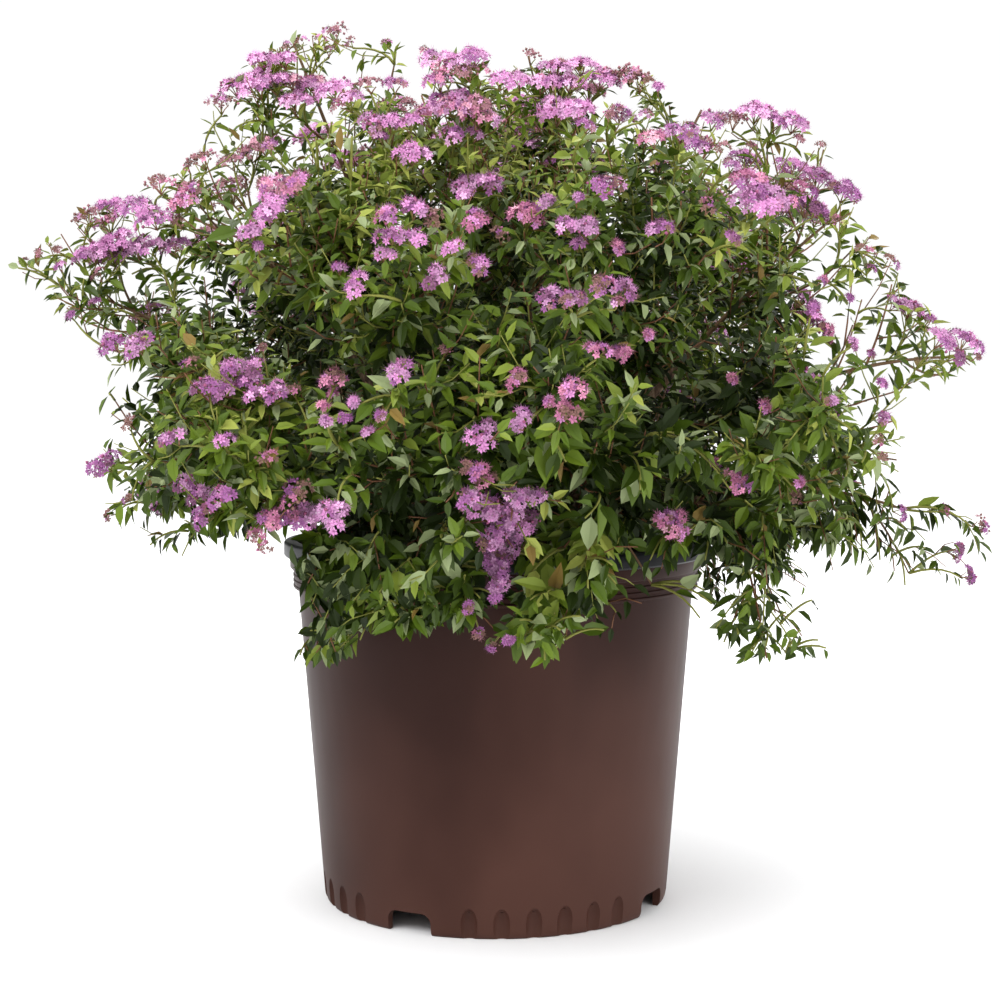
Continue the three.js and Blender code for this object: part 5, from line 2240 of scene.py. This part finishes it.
@dataclass
class PottingMix:
    """The mix that fills the pot: a crumbly crowned top with chips of bark on it."""

    sides: int = 96
    clearance: float = 0.6
    wall_rows: int = 6
    top_rows: int = 30
    crest_share: float = 1.7
    relief: tuple[float, float] = (9.0, 1.0)
    sharp: float = 60.0
    chips: int = 900
    chip_inset: float = 4.0
    chip_rises: tuple[float, float] = (0.3, 1.6)
    chip_sizes: tuple[float, float] = (4.0, 12.0)
    chip_tilt: float = 0.9
    chip_width: float = 0.8
    chip_sway: float = 0.2
    chip_sharp: float = 20.0

    def build(self) -> list[bpy.types.Object]:
        """Makes the mix and its chips."""
        bottom = POT.floor_top + self.clearance

        def inside(height: float) -> float:
            return POT.wall_radius(height) - POT.wall - self.clearance

        wheel = Wheel("potting_mix_fill", inside(bottom), bottom, self.sides)
        for row in range(1, self.wall_rows + 1):
            height = lerp(bottom, MIX_TOP, row / self.wall_rows)
            wheel.ring(inside(height), height)
        edge = inside(MIX_TOP)
        for row in range(1, self.top_rows):
            share = row / self.top_rows
            wheel.ring(edge * (1 - share), self.level(share))
        wheel.close()
        fill = wheel.done()
        close_bottom(fill, bottom)
        roughen(fill, *self.relief)
        finish_with(fill, MIX_FINISH, self.sharp)
        return [fill, self.chip_layer(edge - self.chip_inset)]

    def level(self, share: float) -> float:
        """The height of the mix at a share of the way from its edge to its middle."""
        return MIX_TOP + MIX_CREST * min(share * self.crest_share, 1)

    def chip_layer(self, reach: float) -> bpy.types.Object:
        """Flat chips of bark strewn over the top."""
        random = Stream.CHIPS.start()
        gathered = Gathered()
        feet, frames = [], []
        for number in range(self.chips):
            away = reach * math.sqrt((number + 0.5) / self.chips)
            turn = number * GOLDEN_TURN + random.sway(self.chip_sway)
            height = self.level(1 - away / reach) + random.between(*self.chip_rises)
            feet.append((away * math.cos(turn), away * math.sin(turn), height))
            tilt = np.array([random() - 0.5, random() - 0.5, 0]) * self.chip_tilt
            normal = unit(UP + tilt)
            along = square_to(heading(random() * WHOLE_TURN, 0), normal)
            across = np.cross(normal, along) * self.chip_width
            frames.append(np.stack([along, across, normal]) * random.between(*self.chip_sizes))
        gathered.add_copies(CHIP, np.array(feet), np.array(frames), np.zeros(self.chips, int))
        piece = gathered.piece("bark_chips", (CHIP_FINISH,))
        smooth(piece, self.chip_sharp)
        return piece


@dataclass
class Wood:
    """The boughs and the stool that they spring from, with the bark's relief."""

    bough_sides: int = 5
    rows: int = 26
    start: float = 0.02
    swell: float = 0.35
    swell_rows: float = 7.0
    slimmer: float = 0.94
    bough_relief: tuple[float, float] = (4.0, 1.1)
    stool_sides: int = 48
    sunk: float = 1.5
    stool_profile: tuple[tuple[float, float], ...] = (
        (1.0, 0.08), (0.97, 0.2), (0.92, 0.36), (0.84, 0.52), (0.72, 0.66), (0.58, 0.8),
        (0.42, 0.9), (0.26, 0.96), (0.12, 1.0),
    )
    knots: tuple[float, float] = (14.0, 7.0)
    cracks: tuple[float, float] = (3.0, 1.2)
    sharp: float = 60.0

    def build(self) -> list[bpy.types.Object]:
        """Makes the boughs as one piece, and the stool."""
        return [self.boughs(), self.stool()]

    def boughs(self) -> bpy.types.Object:
        """Draws every bough as a tapering bevelled curve, and gives it relief."""
        curve = bpy.data.curves.new("boughs", "CURVE")
        curve.dimensions, curve.bevel_depth, curve.use_fill_caps = "3D", MM, True
        curve.bevel_resolution = self.bough_sides
        for index, mass in enumerate(MASSES):
            leader = space_of(mass, index).leader
            points = leader.points(self.start, BOUGH_ENDS, self.rows)
            spline = curve.splines.new("POLY")
            spline.points.add(len(points) - 1)
            for row, (knot, point) in enumerate(zip(spline.points, points)):
                share = row / self.rows
                swell = 1 + self.swell * max(0.0, 1 - share * self.swell_rows)
                knot.co = *(point * MM), 1
                knot.radius = lerp(BOUGH_BASE, BOUGH_TIP, share) * swell * self.slimmer
        pick(added("boughs", curve))
        bpy.ops.object.convert(target="MESH")
        piece = bpy.context.object
        roughen(piece, *self.bough_relief)
        finish_with(piece, BARK_FINISH, self.sharp)
        return piece

    def stool(self) -> bpy.types.Object:
        """Turns the low woody mound, and gives it knots and cracks."""
        base = MIX_TOP + MIX_CREST + GAP
        foot = base - self.sunk
        wheel = Wheel("stool_wood", STOOL_RADIUS, foot, self.stool_sides)
        for across, up in self.stool_profile:
            wheel.ring(STOOL_RADIUS * across, base + STOOL_HEIGHT * up)
        wheel.close()
        piece = wheel.done()
        close_bottom(piece, foot)
        modifier = piece.modifiers.new("finer", "SUBSURF")
        modifier.levels = modifier.render_levels = 1
        apply_modifiers(piece)
        roughen(piece, *self.knots)
        roughen(piece, *self.cracks)
        finish_with(piece, BARK_FINISH, self.sharp)
        return piece


# ------------------------------------------------------------------ studio


class Softbox(NamedTuple):
    """A square light: where it hangs, its side in metres and its power in watts."""

    name: str
    place: tuple[float, float, float]
    side: float
    power: float


@dataclass
class Studio:
    """The pale floor, the soft light and the camera."""

    floor_side: float = 30.0
    sky: float = 1.02
    zenith: float = 2.0
    haze: float = 0.25
    middle: tuple[float, float, float] = (0, 0, 0.3)
    softboxes: tuple[Softbox, ...] = (
        Softbox("key", (-1.4, -1.7, 2.4), 1.6, 62),
        Softbox("fill", (2.0, -1.5, 0.5), 1.2, 24),
        Softbox("rim", (0.4, 2.0, 2.0), 1.6, 24),
    )

    def build(self) -> None:
        """Sets the studio round the shrub."""
        self.floor()
        self.world()
        for softbox in self.softboxes:
            self.hang(softbox)
        self.camera()

    def floor(self) -> None:
        """Lays a pale floor."""
        deselect()
        bpy.ops.mesh.primitive_plane_add(size=self.floor_side)
        floor = bpy.context.object
        floor.name = "studio_floor"
        floor.data.materials.append(material_of(FLOOR_FINISH))

    def world(self) -> None:
        """Fills the room with white light that grows towards the top."""
        world = bpy.data.worlds.new("studio_sky")
        bpy.context.scene.world = world
        world.use_nodes = True
        tree = world.node_tree
        sky = tree.nodes["Background"]
        sky.inputs["Color"].default_value = (1, 1, 1, 1)
        place = tree.nodes.new("ShaderNodeTexCoord")
        parts = tree.nodes.new("ShaderNodeSeparateXYZ")
        spread = tree.nodes.new("ShaderNodeMapRange")
        spread.inputs["From Min"].default_value = self.haze
        spread.inputs["To Min"].default_value = self.sky
        spread.inputs["To Max"].default_value = self.zenith
        tree.links.new(place.outputs["Generated"], parts.inputs["Vector"])
        tree.links.new(parts.outputs["Z"], spread.inputs["Value"])
        tree.links.new(spread.outputs["Result"], sky.inputs["Strength"])
        bpy.context.scene.view_settings.view_transform = "Standard"

    def hang(self, softbox: Softbox) -> None:
        """Hangs a square softbox that faces the crown."""
        light = bpy.data.lights.new(softbox.name, "AREA")
        light.shape, light.size, light.energy = "SQUARE", softbox.side, softbox.power
        self.face(added(softbox.name, light), softbox.place, self.middle)

    def camera(self) -> None:
        """Sets the camera before the best side."""
        data = bpy.data.cameras.new("front_camera")
        data.lens, data.sensor_width = CAMERA.lens, CAMERA.sensor
        camera = added("front_camera", data)
        self.face(camera, Vector(CAMERA.eye) * MM, Vector(CAMERA.aim) * MM)
        bpy.context.scene.camera = camera

    def face(self, thing: bpy.types.Object, place: Sequence[float], aim: Sequence[float]
             ) -> None:
        """Sets a light or the camera at a place, facing another."""
        thing.location = place
        way = Vector(aim) - thing.location
        thing.rotation_euler = way.to_track_quat("-Z", "Y").to_euler()


# ------------------------------------------------------------------ assembly


def settle(piece: bpy.types.Object, nodes: Sequence[str]) -> None:
    """Rides a piece on the shrub's one body, in place of its nodes of the part."""
    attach(piece, BODY)
    if nodes:
        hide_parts(*nodes)
    piece.data.calc_loop_triangles()
    LOG.info("%s: %d triangles", piece.name, len(piece.data.loop_triangles))


def write_sizes() -> None:
    """Brings the view layer up to date."""
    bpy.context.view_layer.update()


def main() -> None:
    """Builds the pot, its fill, the wood, the crown and the studio."""
    logging.basicConfig(level=logging.INFO, format="%(name)s: %(message)s")
    settle(NurseryPot().build(), ["pot"])
    for piece in PottingMix().build():
        settle(piece, ["potting_mix"])
    boughs, stool = Wood().build()
    settle(boughs, [f"bough_{mass.name}" for mass in MASSES])
    settle(stool, ["stool"])
    for tier, pieces in enumerate(CrownPieces().build().values()):
        nodes = [f"foliage_{mass.name}" for mass in MASSES if tier_of(mass) == tier]
        for piece in pieces:
            settle(piece, nodes)
    Studio().build()
    write_sizes()


if __name__ == "__main__":
    main()
